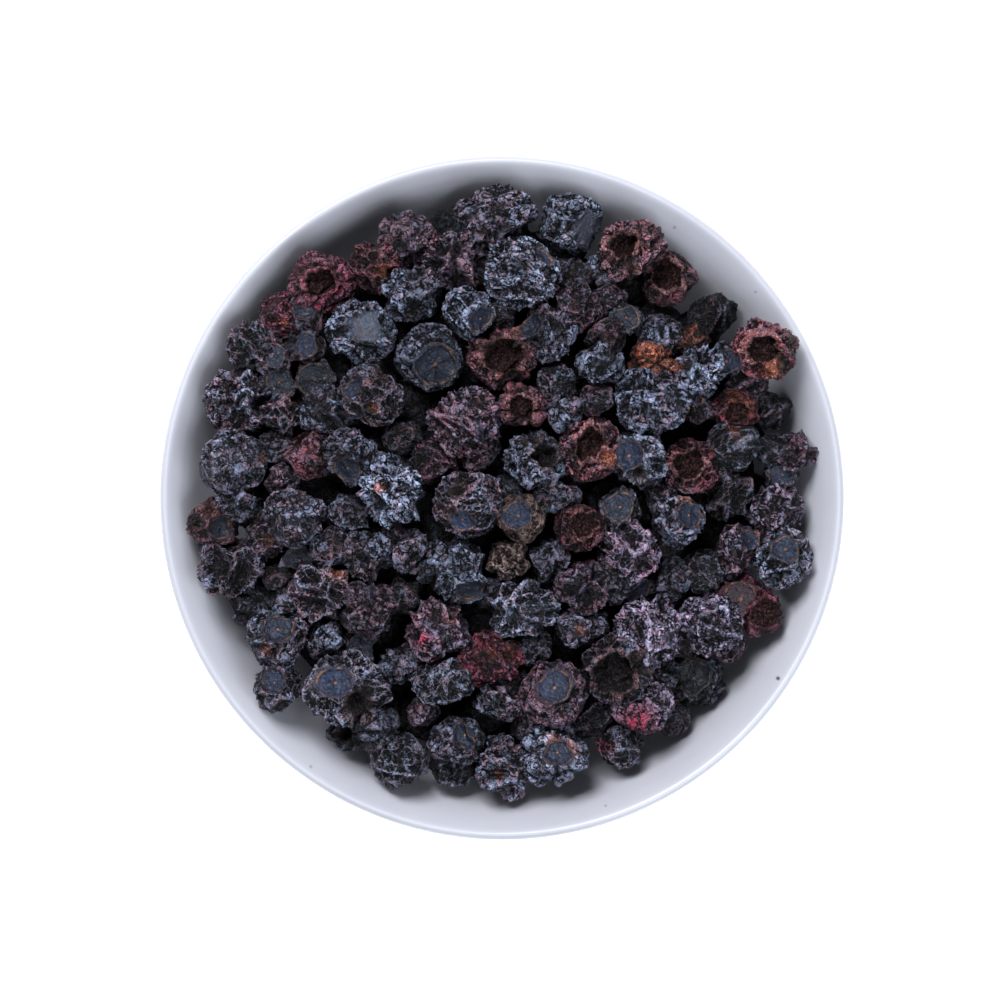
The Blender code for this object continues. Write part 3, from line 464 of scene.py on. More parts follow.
heap = {                       # millimetres, apart from shares
    "top": 42.0, "radius": 36.0,
    "fall": 4.2, "edgeFall": 1.0,      # from the middle to the edge
    "tilt": 2.2, "lowSide": -50.0,     # and towards this heading, in degrees
    "levelStep": 2.4, "packing": 0.86, "loosePacking": 1.08, "coreDepth": 4.6, "rootShare": 0.65,
    "seatGap": 0.45, "wallGap": 0.6, "nudge": 0.1, "flatness": 0.92,
    "fillSpacing": 6.4, "fillJitter": 1.0, "fillSizes": (4.4, 5.6), "fillLevel": 1.0, "fillSeed": 7,
    # a layer of berries seen only as shapes in the gaps, and a dark mound under it, both darkened as painted
    # shade
    "bedSpacing": 6.0, "bedJitter": 0.8, "bedSizes": (6.0, 7.4), "bedLevel": 2, "bedDrop": 9.0,
    "bedSeed": 21, "bedShapeSeed": 3000,
    "moundDrop": 9.5, "moundRadius": 31.5, "moundRings": 14, "moundSteps": 48, "moundRise": 0.8,
    "moundWave": 2.7, "moundShare": 0.2, "moundPaintedShade": 0.15,
    "markSeed": 1000, "skinSeed": 5000,
    "bands": {"far": 12.0, "middle": -12.0, "near": -99.0},    # pieces end at these lines across the heap
    # faces along one side of the cube that a berry starts as, a millimetre of its radius
    "steps": {"shown": 7.8, "lower": 5.6, "fill": 4.4, "bed": 2.2},
    "topShare": 0.3,                   # how far the faces crowd towards the top
    "lightRange": (0.7, 1.3),          # from berry to berry
    "shade": {"shown": 1.0, "lower": 0.75, "fill": 0.6, "bed": 0.25},     # painted shade: light left in the colour on each layer
    "shadeStart": 0.8, "shadeDepth": 5.0, "shadeLeft": 0.26,   # and what is left of it further down, painted shade as well
}

looseTints = ("wine", "rust", "umber")
skinOf = {"heapWine": "wine", "heapUmber": "umber"}

shapes = {                     # shares of a berry's radius
    "lump": {"skin": 0.045, "dot": 0.045, "eye": 0.035, "dent": 0.03, "patch": 0.03, "open": 0.04,
             "cup": 0.04, "ragged": 0.10},
    "lumpWaves": 5, "lumpOften": (2.0, 0.9), "lumpStrength": (0.6, 1.0), "lumpFade": 0.25,
    "dentDepth": 0.22, "dentReach": 0.55,
    "dentCalm": {"dent": 0.35, "patch": 1.0}, "dentCalmEdge": (3.0, 1.2),
    "dentEdge": (0.25, 2.5),   # how uneven, and how often round the berry
    "eyeWobble": (0.17, 1.6),  # the same
    "eyeSink": 0.08, "eyeRim": 0.07, "eyeRimWidths": (0.08, 0.20), "eyeEdge": 0.10,
    "eyeGroove": (0.012, 0.62, 0.06),    # depth, place and width
    "eyeDot": (0.02, 0.1),     # height and width
    "mouthGrowth": 1.15,
    "mouthEdges": ((0.30, 1.5), (0.16, 4.0)),    # how uneven, and how often
    "mouthWild": (0.45, 1.3, 2.6),       # the torn rim's usual height, how uneven, and how often
    "mouthFloor": {"open": 0.22, "cup": 0.40}, "mouthBend": 0.16, "mouthWaist": 0.84, "mouthWall": 0.72,
    "mouthFlare": 0.7, "mouthRim": 0.17, "mouthRimWidths": (0.12, 0.11),
    "mouthDip": (0.05, 1.45, 0.25),      # depth, place and width
    # how dark inside a mouth: dark flesh with painted shade
    "mouthDark": {"open": 1.0, "cup": 0.6}, "mouthDarkEdge": 0.16, "tornWidth": 0.07,
    "noDisc": 9.0,             # stands for a place far off any disc
    "widestMark": 0.85, "steepestMark": 0.9,
    "sides": 8, "sideReach": (0.4, 0.9), "sideDepth": (0.06, 0.24),    # where the skin fell in as it dried
    "raggedSides": 1.5,        # they are deeper on a ragged berry
}

wrinkles = {                   # millimetres
    "noiseSeed": 11,           # the bends of the folds start from here in every run
    "bend": 1.1, "bendSize": 2.6,
    "stretch": (0.2, 0.7),     # how far the folds are drawn out along one direction
    "layers": [                # width of the folds, their height, share of the light colour (pale bloom with painted highlight)
        (2.60, 1.40, 0.40),
        (1.15, 0.52, 0.60),
    ],
    "fullSize": 3.3,           # smaller berries have lower folds
    "variety": (0.45, 1.45),   # each layer is this much stronger or weaker on one berry
    "roundBerries": 0.12,      # this share of the berries has rounded folds, the others sharp ridges
    "raggedGrowth": 1.4,       # the folds of a ragged berry are this much higher
    "sharpness": (0.1, 0.95),  # of rounded folds and of sharp ridges
    "calm": 0.12,              # share of the wrinkles left on a calyx or a smooth dent
    "smoothSides": 0.45,       # how calm the skin is where it fell in smoothly
    "smoothEdge": (2.0, 3.0),
    # depth in shares of its radius, how steep, how dark inside (dark flesh with painted shade), and how torn
    # its edge is, where and how wide
    "pit": {"depth": 0.75, "steep": 1, "dark": (1.2, 0.3), "tear": (0.6, 1.0, 0.3)},
    "hole": {"depth": 1.75, "steep": 3, "dark": (2.0, 0.4), "tear": (1.0, 1.05, 0.15)},
    "lobeHeight": 0.45, "spotReach": 3.0,
    "cavity": (0.12, 0.74, 0.95, 1.60),   # painted shade and light on the folds: light at least, on level skin, gained a millimetre, at most
    "hollowStart": 0.2,        # inside a mouth the folds rise along its own axis
    "wallGap": 0.15,
}


def heapHeight(x, y):
    share = math.hypot(x, y) / heap["radius"]
    low = math.radians(heap["lowSide"])
    lean = (x * math.cos(low) + y * math.sin(low)) / heap["radius"]
    return heap["top"] - heap["fall"] * share**2 - heap["edgeFall"] * share**6 - heap["tilt"] * lean


def wallDistance(radius, height):
    lipRadius, lipHeight = bowl["lipMiddle"]
    nearest = math.hypot(radius - lipRadius, height - lipHeight) - bowl["lipRound"]
    points = bowl["lipGuide"] + list(reversed(bowl["inside"][:-1]))
    for (r1, z1), (r2, z2) in zip(points, points[1:]):
        out, rise = r2 - r1, z2 - z1
        along = ((radius - r1) * out + (height - z1) * rise) / (out**2 + rise**2)
        along = min(max(along, 0.0), 1.0)
        nearest = min(nearest, math.hypot(radius - r1 - along * out, height - z1 - along * rise))
    return nearest


def isLoose(berry):
    return berry["tint"] in looseTints


def meanRadius(berry):
    return (berry["width"] + berry["depth"]) / 4.0


def listBerries():
    return [{**blankBerry, **dict(zip(berryFields, row))} for row in berryRows]


def drawnBerry(x, y, size, turn, level, detail):
    return {**blankBerry, "x": x, "y": y, "width": size, "depth": size * heap["flatness"], "turn": turn,
            "level": level, "tint": "ink", "kind": "skin", "detail": detail}


def scattered(draw, spacing, jitter, sizes):
    # places on a loose honeycomb across the heap, each with a size
    reach = int(heap["radius"] / spacing) + 1
    for row in range(-reach, reach + 1):
        for column in range(-reach, reach + 1):
            x = (column + 0.5 * (row % 2)) * spacing + draw.uniform(-jitter, jitter)
            y = row * spacing * math.sin(math.pi / 3.0) + draw.uniform(-jitter, jitter)
            yield x, y, draw.uniform(*sizes)


def fillBerries(shown):
    draw = random.Random(heap["fillSeed"])
    made = []
    for x, y, size in scattered(draw, heap["fillSpacing"], heap["fillJitter"], heap["fillSizes"]):
        inside = math.hypot(x, y) < heap["radius"] - size / 2.0
        free = all(math.hypot(x - berry["x"], y - berry["y"]) > meanRadius(berry) for berry in shown)
        if inside and free:
            made.append(drawnBerry(x, y, size, draw.uniform(0.0, 180.0), heap["fillLevel"], "fill"))
    return made


def bedBerries():
    draw = random.Random(heap["bedSeed"])
    made = []
    for x, y, size in scattered(draw, heap["bedSpacing"], heap["bedJitter"], heap["bedSizes"]):
        height = heapHeight(x, y) - heap["bedDrop"]
        away = math.hypot(x, y)
        clear = wallDistance(away, height) > size / 2.0 + heap["wallGap"]
        if clear and away < heap["radius"]:
            turn = draw.uniform(0.0, 180.0)
            made.append((drawnBerry(x, y, size, turn, heap["bedLevel"], "bed"), height))
    return made


def liftedOver(berry, height, other, below, reach):
    # the height at which a berry clears another one
    away = math.hypot(berry["x"] - other["x"], berry["y"] - other["y"])
    if away >= reach:
        return height
    return max(height, below + math.sqrt(reach**2 - away**2))


def restHeights(berries):
    heights = {}
    for index in sorted(range(len(berries)), key=lambda place: (-berries[place]["level"], place)):
        berry = berries[index]
        radius = meanRadius(berry)
        flat = radius * heap["flatness"]
        surface = heapHeight(berry["x"], berry["y"])
        height = surface - flat - berry["level"] * heap["levelStep"]
        for other, below in heights.items():
            reach = (radius + meanRadius(berries[other])) * heap["packing"]
            height = liftedOver(berry, height, berries[other], below, reach)
        height = min(height, surface - heap["coreDepth"] + flat * heap["rootShare"])
        for other, below in heights.items():
            if isLoose(berry) and isLoose(berries[other]):
                reach = (radius + meanRadius(berries[other])) * heap["loosePacking"] + heap["seatGap"]
                height = liftedOver(berry, height, berries[other], below, reach)
        away = math.hypot(berry["x"], berry["y"])
        widest = max(berry["width"], berry["depth"]) / 2.0
        while wallDistance(away, height) < widest + heap["wallGap"]:
            height += heap["nudge"]
        heights[index] = height
    return [heights[index] for index in range(len(berries))]


def drawnWay(draw, lowest=-1.0):
    return Vector((draw.uniform(-1, 1), draw.uniform(-1, 1), draw.uniform(lowest, 1))).normalized()


def lumpWaves(seed):
    draw = random.Random(seed)
    start, step = shapes["lumpOften"]
    waves = []
    for index in range(shapes["lumpWaves"]):
        way = drawnWay(draw)
        phase = draw.uniform(0.0, math.tau)
        strength = draw.uniform(*shapes["lumpStrength"]) / (1.0 + shapes["lumpFade"] * index)
        waves.append((way, start + step * index, phase, strength))
    return waves


def lump(direction, waves):
    return sum(strength * math.sin(often * direction.dot(way) + phase)
               for way, often, phase, strength in waves)


def markDirection(berry, seed):
    if berry["markRadius"] == 0.0:
        return drawnWay(random.Random(seed + heap["markSeed"]), -0.2)
    across = (berry["markX"] - berry["x"]) / meanRadius(berry)
    along = (berry["markY"] - berry["y"]) / meanRadius(berry)
    flat = min(math.hypot(across, along), shapes["steepestMark"])
    heading = math.atan2(along, across)
    return Vector((flat * math.cos(heading), flat * math.sin(heading), math.sqrt(1.0 - flat**2)))


spheres = {}


def cubeSphere(steps):
    if steps not in spheres:
        shape = bmesh.new()
        bmesh.ops.create_cube(shape, size=2.0)
        bmesh.ops.subdivide_edges(shape, edges=shape.edges, cuts=steps - 1, use_grid_fill=True)
        shape.verts.index_update()
        quarter = math.pi / 4.0
        corners = [[math.tan(part * quarter) for part in vertex.co] for vertex in shape.verts]
        directions = [Vector(corner).normalized() for corner in corners]
        faces = [[corner.index for corner in face.verts] for face in shape.faces]
        shape.free()
        spheres[steps] = (directions, faces)
    return spheres[steps]


def hump(value, width):
    return math.exp(-(value / width) ** 2)


def insideMouth(kind, ring, side, facing, half, wild):
    # a flat floor, then a wall that leans out to the torn rim
    floor = shapes["mouthFloor"][kind]
    bend = shapes["mouthBend"]
    waist = math.sin(half) * shapes["mouthWaist"]
    wall = shapes["mouthWall"]
    if ring < wall:
        share = ring / wall
        return side * waist * share + facing * (floor + bend * share**2)
    share = (ring - wall) / (1.0 - wall)
    out = waist + (math.sin(half) - waist) * share
    along = floor + bend + (math.cos(half) - floor - bend) * share ** shapes["mouthFlare"]
    rim = shapes["mouthRim"] * wild * hump(ring - 1.0, shapes["mouthRimWidths"][0])
    return side * out + facing * (along + rim)


def mouthPoint(kind, toward, facing, side, half, drift):
    rough = sum(noise.noise(side * often + drift) * strength for strength, often in shapes["mouthEdges"])
    edge = half * shapes["mouthGrowth"] * (1.0 + rough)
    ring = toward.angle(facing) / edge
    middle, swing, often = shapes["mouthWild"]
    wild = max(0.0, middle + swing * noise.noise(side * often - drift))
    torn = hump(ring - 1.0, shapes["tornWidth"])
    if ring < 1.0:
        hollow = min(1.0, (1.0 - ring) / shapes["mouthDarkEdge"]) * shapes["mouthDark"][kind]
        point = insideMouth(kind, ring, side, facing, edge, wild)
        return point, shapes["noDisc"], torn, hollow, 0.0
    dip, where, width = shapes["mouthDip"]
    rim = shapes["mouthRim"] * wild * hump(ring - 1.0, shapes["mouthRimWidths"][1])
    rise = rim - dip * hump(ring - where, width)
    return toward * (1.0 + rise), shapes["noDisc"], torn, 0.0, 0.0


def eyePoint(toward, facing, side, half, drift):
    # a sunken disc with a groove and a dot, inside a raised rim
    wobble, often = shapes["eyeWobble"]
    edge = half * (1.0 + wobble * noise.noise(side * often + drift))
    ring = toward.angle(facing) / edge
    inner, outer = shapes["eyeRimWidths"]
    rim = shapes["eyeRim"] * hump(ring - 1.0, inner if ring < 1.0 else outer)
    if ring >= 1.0:
        return toward * (1.0 + rim), ring, 0.0, 0.0, hump(ring - 1.0, shapes["eyeEdge"])
    sink = shapes["eyeSink"] * (1.0 - ring**6)
    depth, where, width = shapes["eyeGroove"]
    height, reach = shapes["eyeDot"]
    groove = depth * hump(ring - where, width) - height * hump(ring, reach)
    point = side * math.sin(edge) * ring + facing * (math.cos(edge) - sink - groove + rim)
    return point, ring, 0.0, 0.0, 1.0


def dentPoint(kind, toward, facing, drift):
    reach = shapes["dentReach"]
    near = max(0.0, (toward.dot(facing) - reach) / (1.0 - reach))
    rough, often = shapes["dentEdge"]
    patch = near + rough * noise.noise(toward * often + drift)
    gain, start = shapes["dentCalmEdge"]
    calm = min(shapes["dentCalm"][kind], max(0.0, patch * gain - start))
    return toward * (1.0 - shapes["dentDepth"] * near**2), shapes["noDisc"], 0.0, 0.0, calm


def markedPoint(berry, toward, facing, half, drift):
    # the skin's place on a berry of radius 1, then how far out on the disc it is, how torn, hollow and calm
    kind = berry["kind"]
    side = (toward - facing * toward.dot(facing)).normalized()
    if kind == "eye":
        return eyePoint(toward, facing, side, half, drift)
    if kind in shapes["mouthFloor"]:
        return mouthPoint(kind, toward, facing, side, half, drift)
    if kind in shapes["dentCalm"]:
        return dentPoint(kind, toward, facing, drift)
    return toward, shapes["noDisc"], 0.0, 0.0, 0.0


def wrinkle(place, way, sharp, growths):
    # rounded folds between narrow creases, or sharp ridges between hollows, with the share of light colour:
    # pale bloom with painted highlight on the fold tops
    drawn = place - way * place.dot(way)
    bent = drawn + noise.noise_vector(drawn / wrinkles["bendSize"]) * wrinkles["bend"]
    lift = 0.0
    ridge = 0.0
    for (size, height, share), growth in zip(wrinkles["layers"], growths):
        near = noise.voronoi(bent / size)[0]
        edge = near[0] / max(near[1], 0.001)
        lift += height * growth * (sharp * edge**2 + (1.0 - sharp) * (1.0 - edge**4) - 0.5)
        ridge += share * (sharp * edge**7 + (1.0 - sharp) * 0.8 * (1.0 - edge**3))
    return lift, min(1.0, ridge)


def sunkenSides(draw, share):
    sides = []
    for number in range(shapes["sides"]):
        way = drawnWay(draw, -0.6)
        depth = draw.uniform(*shapes["sideDepth"]) * share
        sides.append((way, draw.uniform(*shapes["sideReach"]), depth, number == 0))
    return sides


def sunk(toward, sides):
    left = 1.0
    calm = 0.0
    for way, reach, depth, smooth in sides:
        away = toward.angle(way) / reach
        if away < 1.0:
            left -= depth * (1.0 - away**2) ** 2
            if smooth:
                start, gain = wrinkles["smoothEdge"]
                calm = max(calm, wrinkles["smoothSides"] * min(1.0, max(0.0, start - gain * away)))
    return left, calm


def nearMarks(berry):
    reach = meanRadius(berry)
    marks = [] if "detail" in berry else smallMarks
    if berry["kind"] == "dot":
        marks = marks + [(berry["markX"], berry["markY"], berry["markRadius"], "fleck")]
    local = [(x - berry["x"], y - berry["y"], radius, what) for x, y, radius, what in marks]
    return [mark for mark in local if math.hypot(mark[0], mark[1]) < reach]


def offWall(place):
    radius = math.hypot(place.x, place.y)
    for (r1, z1), (r2, z2) in zip(bowl["inside"], bowl["inside"][1:]):
        if z1 <= place.z <= z2:
            wall = r1 + (r2 - r1) * (place.z - z1) / (z2 - z1) - wrinkles["wallGap"]
            if radius > wall:
                return Vector((place.x * wall / radius, place.y * wall / radius, place.z))
    return place


# painted shade: the colour darkens below the heap's top
def depthShade(place):
    depth = heapHeight(place.x, place.y) - place.z - heap["shadeStart"]
    share = min(1.0, max(0.0, depth / heap["shadeDepth"]))
    return 1.0 - (1.0 - heap["shadeLeft"]) * share


def addSpots(local, spots, lift, hollow, torn):
    fleck = 0.0
    for x, y, radius, what in spots:
        away = math.hypot(local.x - x, local.y - y) / radius
        if local.z < 0.0 or away > wrinkles["spotReach"]:
            continue
        near = hump(away, 1.0)
        if what in ("pit", "hole"):
            look = wrinkles[what]
            gain, start = look["dark"]
            tear, where, width = look["tear"]
            deep = hump(away ** look["steep"], 1.0)
            lift -= look["depth"] * radius * deep
            hollow = max(hollow, deep * gain - start)
            torn = max(torn, tear * hump(away - where, width))
        elif what == "lobe":
            lift += wrinkles["lobeHeight"] * near
        elif what == "blush":
            fleck = -near
        else:
            fleck = max(fleck, near)
    return lift, min(1.0, max(0.0, hollow)), torn, fleck


def special(berry):
    return specials.get((berry["x"], berry["y"]), {})


# painted shade in the folds' hollows and painted light on raised folds
def paintedFoldShade(lift):
    least, level, gain, most = wrinkles["cavity"]
    return min(most, max(least, level + gain * lift))


def berrySurface(berry, seed, height):
    # corners in metres, with their marks (ridge, disc, torn, hollow) and tones (light, calm, haze, fleck);
    # the light holds painted shade and painted light
    detail = berry.get("detail", "lower" if berry["level"] >= 1.0 else "shown")
    directions, faces = cubeSphere(round(heap["steps"][detail] * meanRadius(berry)))
    facing = markDirection(berry, seed)
    toMark = up.rotation_difference(facing)
    half = math.asin(min(berry["markRadius"] / meanRadius(berry), shapes["widestMark"]))
    waves = lumpWaves(seed)
    swing = math.radians(berry["turn"])
    draw = random.Random(seed + heap["skinSeed"])
    drift = Vector((draw.uniform(-50, 50), draw.uniform(-50, 50), draw.uniform(-50, 50)))
    way = drawnWay(draw)
    ragged = berry["kind"] == "ragged"
    # the berry's own tone, times painted shade on the lower layers
    light = draw.uniform(*heap["lightRange"]) * heap["shade"][detail] * special(berry).get("light", 1.0)
    haze = draw.random()
    way *= math.sqrt(draw.uniform(*wrinkles["stretch"]))
    rounded = draw.random() < wrinkles["roundBerries"] and not ragged
    if "laced" in special(berry):
        haze = special(berry)["laced"]
        rounded = False
    sharp = wrinkles["sharpness"][0 if rounded else 1]
    growth = wrinkles["raggedGrowth"] if ragged else 1.0
    growth *= min(1.0, meanRadius(berry) / wrinkles["fullSize"])
    growths = [growth * draw.uniform(*wrinkles["variety"]) for layer in wrinkles["layers"]]
    sides = sunkenSides(draw, shapes["raggedSides"] if ragged else 1.0)
    spots = nearMarks(berry)
    middle = Vector((berry["x"], berry["y"], height))
    places = []
    marks = []
    tonesAndShade = []
    for direction in directions:
        toward = (toMark @ direction + up * heap["topShare"]).normalized()
        point, disc, torn, hollow, calm = markedPoint(berry, toward, facing, half, drift)
        left, smooth = sunk(toward, sides)
        calm = max(calm, smooth)
        point = point * (1.0 + shapes["lump"][berry["kind"]] * lump(point, waves)) * left
        wide = (point.x * math.cos(swing) + point.y * math.sin(swing)) * berry["width"] / 2.0
        deep = (point.y * math.cos(swing) - point.x * math.sin(swing)) * berry["depth"] / 2.0
        local = Vector((
            wide * math.cos(swing) - deep * math.sin(swing),
            wide * math.sin(swing) + deep * math.cos(swing),
            point.z * meanRadius(berry) * heap["flatness"],
        ))
        lift, ridge = wrinkle(local + drift, way, sharp, growths)
        keep = 1.0 - (1.0 - wrinkles["calm"]) * calm
        outward = facing if hollow > wrinkles["hollowStart"] else local.normalized()
        lift, hollow, torn, fleck = addSpots(local, spots, lift * keep, hollow, torn)
        place = offWall(middle + local + outward * lift)
        places.append(place * mm)
        marks.append((ridge, disc, torn, hollow))
        # light: the berry's tone times painted shade and light on the folds and painted shade down the heap
        tonesAndShade.append((light * paintedFoldShade(lift) * depthShade(place), calm, haze, fleck))
    return places, faces, marks, tonesAndShade


def shadowMound():
    # closes the last gaps between the berries, dark as painted shade
    rings = heap["moundRings"]
    around = heap["moundSteps"]
    places = [Vector((0.0, 0.0, heapHeight(0.0, 0.0) - heap["moundDrop"])) * mm]
    faces = []
    for ring in range(1, rings + 1):
        for step in range(around):
            angle = math.tau * step / around
            radius = heap["moundRadius"] * ring / rings
            x = radius * math.cos(angle)
            y = radius * math.sin(angle)
            rise = heap["moundRise"] * noise.noise(Vector((x, y, 0.0)) / heap["moundWave"])
            places.append(offWall(Vector((x, y, heapHeight(x, y) - heap["moundDrop"] + rise))) * mm)
            after = (step + 1) % around
            if ring == 1:
                faces.append([0, 1 + step, 1 + after])
            else:
                inner = 1 + (ring - 2) * around
                outer = inner + around
                faces.append([inner + step, outer + step, outer + after, inner + after])
    marks = [(heap["moundShare"], shapes["noDisc"], 0.0, 0.0)] * len(places)
    tonesAndShade = [(heap["moundPaintedShade"], 0.0, 0.0, 0.0)] * len(places)
    return places, faces, marks, tonesAndShade


# The skins

skins = {                      # colours in creases, on ridges, in clouds, on thin skin and on torn edges; creases are dark skin with painted shade, ridges pale bloom with painted highlight
    "ink": {"crease": (0.0014, 0.0016, 0.0026), "ridge": (0.172, 0.198, 0.290),
            "cloud": (0.145, 0.126, 0.180), "flush": (0.230, 0.085, 0.080), "flushShare": 0.50,
            "torn": (0.26, 0.12, 0.10), "flesh": (0.018, 0.016, 0.018)},
    "slate": {"crease": (0.0020, 0.0027, 0.0042), "ridge": (0.215, 0.252, 0.355),
              "cloud": (0.165, 0.180, 0.265), "flush": (0.25, 0.11, 0.10), "flushShare": 0.42,
              "torn": (0.26, 0.14, 0.12), "flesh": (0.018, 0.016, 0.018)},
    "plum": {"crease": (0.0028, 0.0016, 0.0026), "ridge": (0.190, 0.122, 0.165),
             "cloud": (0.130, 0.118, 0.175), "flush": (0.200, 0.055, 0.070), "flushShare": 0.50,
             "torn": (0.32, 0.13, 0.13)},
    "lilac": {"crease": (0.0040, 0.0027, 0.0040), "ridge": (0.250, 0.200, 0.285),
              "cloud": (0.190, 0.178, 0.260), "flush": (0.32, 0.12, 0.16), "flushShare": 0.45,
              "torn": (0.32, 0.13, 0.13)},
    "wine": {"crease": (0.0055, 0.0014, 0.0020), "ridge": (0.205, 0.098, 0.120),
             "cloud": (0.135, 0.085, 0.115), "flush": (0.24, 0.040, 0.050), "flushShare": 0.55,
             "torn": (0.42, 0.18, 0.16)},
    "crimson": {"crease": (0.0100, 0.0013, 0.0024), "ridge": (0.270, 0.088, 0.132),
                "cloud": (0.170, 0.078, 0.115), "flush": (0.31, 0.025, 0.055), "flushShare": 0.70,
                "torn": (0.40, 0.10, 0.13), "calyx": (0.017, 0.008, 0.012),
                "calyxPale": (0.055, 0.029, 0.040)},
    "rust": {"crease": (0.0110, 0.0026, 0.0018), "ridge": (0.320, 0.150, 0.120),
             "cloud": (0.200, 0.082, 0.078), "flush": (0.50, 0.120, 0.050), "flushShare": 0.60,
             "torn": (0.55, 0.20, 0.09)},
    "umber": {"crease": (0.0045, 0.0026, 0.0020), "ridge": (0.250, 0.180, 0.165),
              "cloud": (0.180, 0.130, 0.122), "flush": (0.22, 0.080, 0.055), "flushShare": 0.40,
              "torn": (0.30, 0.14, 0.09)},
}

specials = {                   # berries with a look of their own, by their place
    (-22.0, 26.3): {"skin": "crimson"},
    (-27.0, 22.2): {"skin": "crimson"},
    (32.0, -14.2): {"skin": "crimson", "light": 0.8},
    (29.3, -12.5): {"skin": "crimson", "light": 0.8},
    (-1.2, -19.6): {"skin": "crimson", "light": 0.6},
    (28.6, 10.6): {"skin": "crimson"},
    (-15.3, 28.3): {"skin": "wine", "light": 0.75},
    (-11.5, 31.5): {"light": 0.75},
    (-6.0, 29.0): {"light": 0.75},
    (-35.4, -3.3): {"light": 0.6},
    (23.3, 19.4): {"skin": "rust", "light": 0.45},
    (17.2, -25.2): {"skin": "lilac", "laced": 0.0},
    (8.3, 33.6): {"light": 0.75, "laced": 0.0},
    (-18.5, -23.6): {"laced": 1.0},
}

skinFinish = {                 # sizes in millimetres
    # the disc and its ring, by the distance from its middle in shares of its radius
    "calyx": (0.003, 0.005, 0.013), "calyxPale": (0.018, 0.026, 0.056), "calyxRough": 0.50,
    "calyxEdge": (1.04, 0.98), "calyxStreak": 0.5, "streakRange": (0.50, 0.90), "streakHaze": 0.25,
    "calyxWaves": 26.0, "waveRange": (0.2, 1.0, 0.0, 0.35),
    "calyxRing": (0.17, 0.070, 0.028), "ringPlace": 0.96, "ringWidth": (0.045, 0.010),
    "ringBreak": 0.8, "breakRange": (0.40, 0.62),
    "dot": (0.24, 0.085, 0.03), "dotWidth": (0.13, 0.06),
    # torn mouths, their dark flesh made nearly black as painted shade; faces more hollow than deepHollow get
    # the dull flesh
    "hollow": (0.003, 0.002, 0.002), "flesh": (0.038, 0.015, 0.014), "fleshRange": (0.50, 0.72),
    "hollowShare": 0.93, "hollowRough": 0.3,
    "deepHollow": 0.55, "deepGrain": 0.3, "deepRange": (0.46, 0.66), "deepRough": 0.9, "deepSpecular": 0.05,
    "deepBump": 0.2,
    "fleck": (0.40, 0.115, 0.045), "fleckRange": (0.45, 0.58),
    "blush": (0.30, 0.030, 0.060), "blushShare": 1.3, "tornRange": (0.42, 0.62),
    # folds; a laced berry has a net of fine ridges, a creased one broad folds
    "bendSize": 0.8, "bend": 0.9, "netSize": 0.95, "netWidth": 0.20, "netBerries": (0.60, 0.75),
    "foldSize": 0.50, "wideFoldSize": 1.05, "foldGain": 14.0, "grainSize": 0.15, "grainRough": 0.65,
    "creasedTint": {"ridge": 0.62, "wideFold": 0.46, "fold": 0.28, "grainy": 0.60},
    "lacedTint": {"ridge": 0.85, "line": 0.38, "fold": 0.36, "grainy": 0.65},
    "tintRange": (0.55, 1.10), "calmShare": 0.20,
    "creasedRelief": {"wideFold": 0.80, "fold": 0.35, "grain": 0.35},
    "lacedRelief": {"line": 1.00, "fold": 0.45, "grain": 0.40},
    "bumpHeight": 0.75, "flatDisc": 0.82, "flatCalm": 0.88,
    "cloudSize": 3.2, "cloudRange": (0.38, 0.62),
    "flushSize": 1.1, "flushRough": 0.6, "flushHaze": 0.12, "flushRange": (0.52, 0.66),
    "roughCrease": 0.34, "roughRidge": 0.25, "shadeRough": 0.2, "specular": 0.24,
}


def netLine(tree, place, finish):
    net = addNode(tree, "ShaderNodeTexVoronoi", feature="DISTANCE_TO_EDGE", Vector=place,
                  Scale=1.0 / (finish["netSize"] * mm))
    return ramp(tree, net.outputs["Distance"], 0.0, finish["netWidth"], 1.0, 0.0)


def foldTop(tree, place, size, gain):
    crease = maths(tree, "ABSOLUTE", maths(tree, "SUBTRACT", noiseAt(tree, place, size), 0.5))
    return maths(tree, "MULTIPLY", crease, gain, clamp=True)


def weighed(tree, parts, weights):
    total = 0.0
    for part, weight in weights.items():
        total = maths(tree, "ADD", maths(tree, "MULTIPLY", parts[part], weight), total)
    return total


def discColours(tree, colour, disc, haze, place, look):
    inside = ramp(tree, disc, *look["calyxEdge"])
    streak = noiseAt(tree, place, look["calyxStreak"], 3.0)
    streak = maths(tree, "ADD", streak, maths(tree, "MULTIPLY", haze, look["streakHaze"]))
    face = blend(tree, ramp(tree, streak, *look["streakRange"]), look["calyx"], look["calyxPale"])
    waves = maths(tree, "SINE", maths(tree, "MULTIPLY", disc, look["calyxWaves"]))
    face = blend(tree, ramp(tree, waves, *look["waveRange"]), face, look["calyxPale"])
    colour = blend(tree, inside, colour, face)
    broken = ramp(tree, noiseAt(tree, place, look["ringBreak"]), *look["breakRange"])
    fromRing = maths(tree, "ABSOLUTE", maths(tree, "SUBTRACT", disc, look["ringPlace"]))
    ring = maths(tree, "MULTIPLY", ramp(tree, fromRing, *look["ringWidth"]), broken)
    colour = blend(tree, ring, colour, look["calyxRing"])
    return blend(tree, ramp(tree, disc, *look["dotWidth"]), colour, look["dot"]), inside


def bentPlace(tree, place, finish):
    # the folds' own coordinates, pushed about so that no line runs straight
    push = addNode(tree, "ShaderNodeTexNoise", Vector=place, Detail=2.0,
                   Scale=1.0 / (finish["bendSize"] * mm))
    pushed = addNode(tree, "ShaderNodeVectorMath", operation="MULTIPLY_ADD")
    plug(tree, push.outputs["Color"], pushed.inputs[0])
    pushed.inputs[1].default_value = (finish["bend"] * mm,) * 3
    plug(tree, place, pushed.inputs[2])
    return pushed.outputs[0]


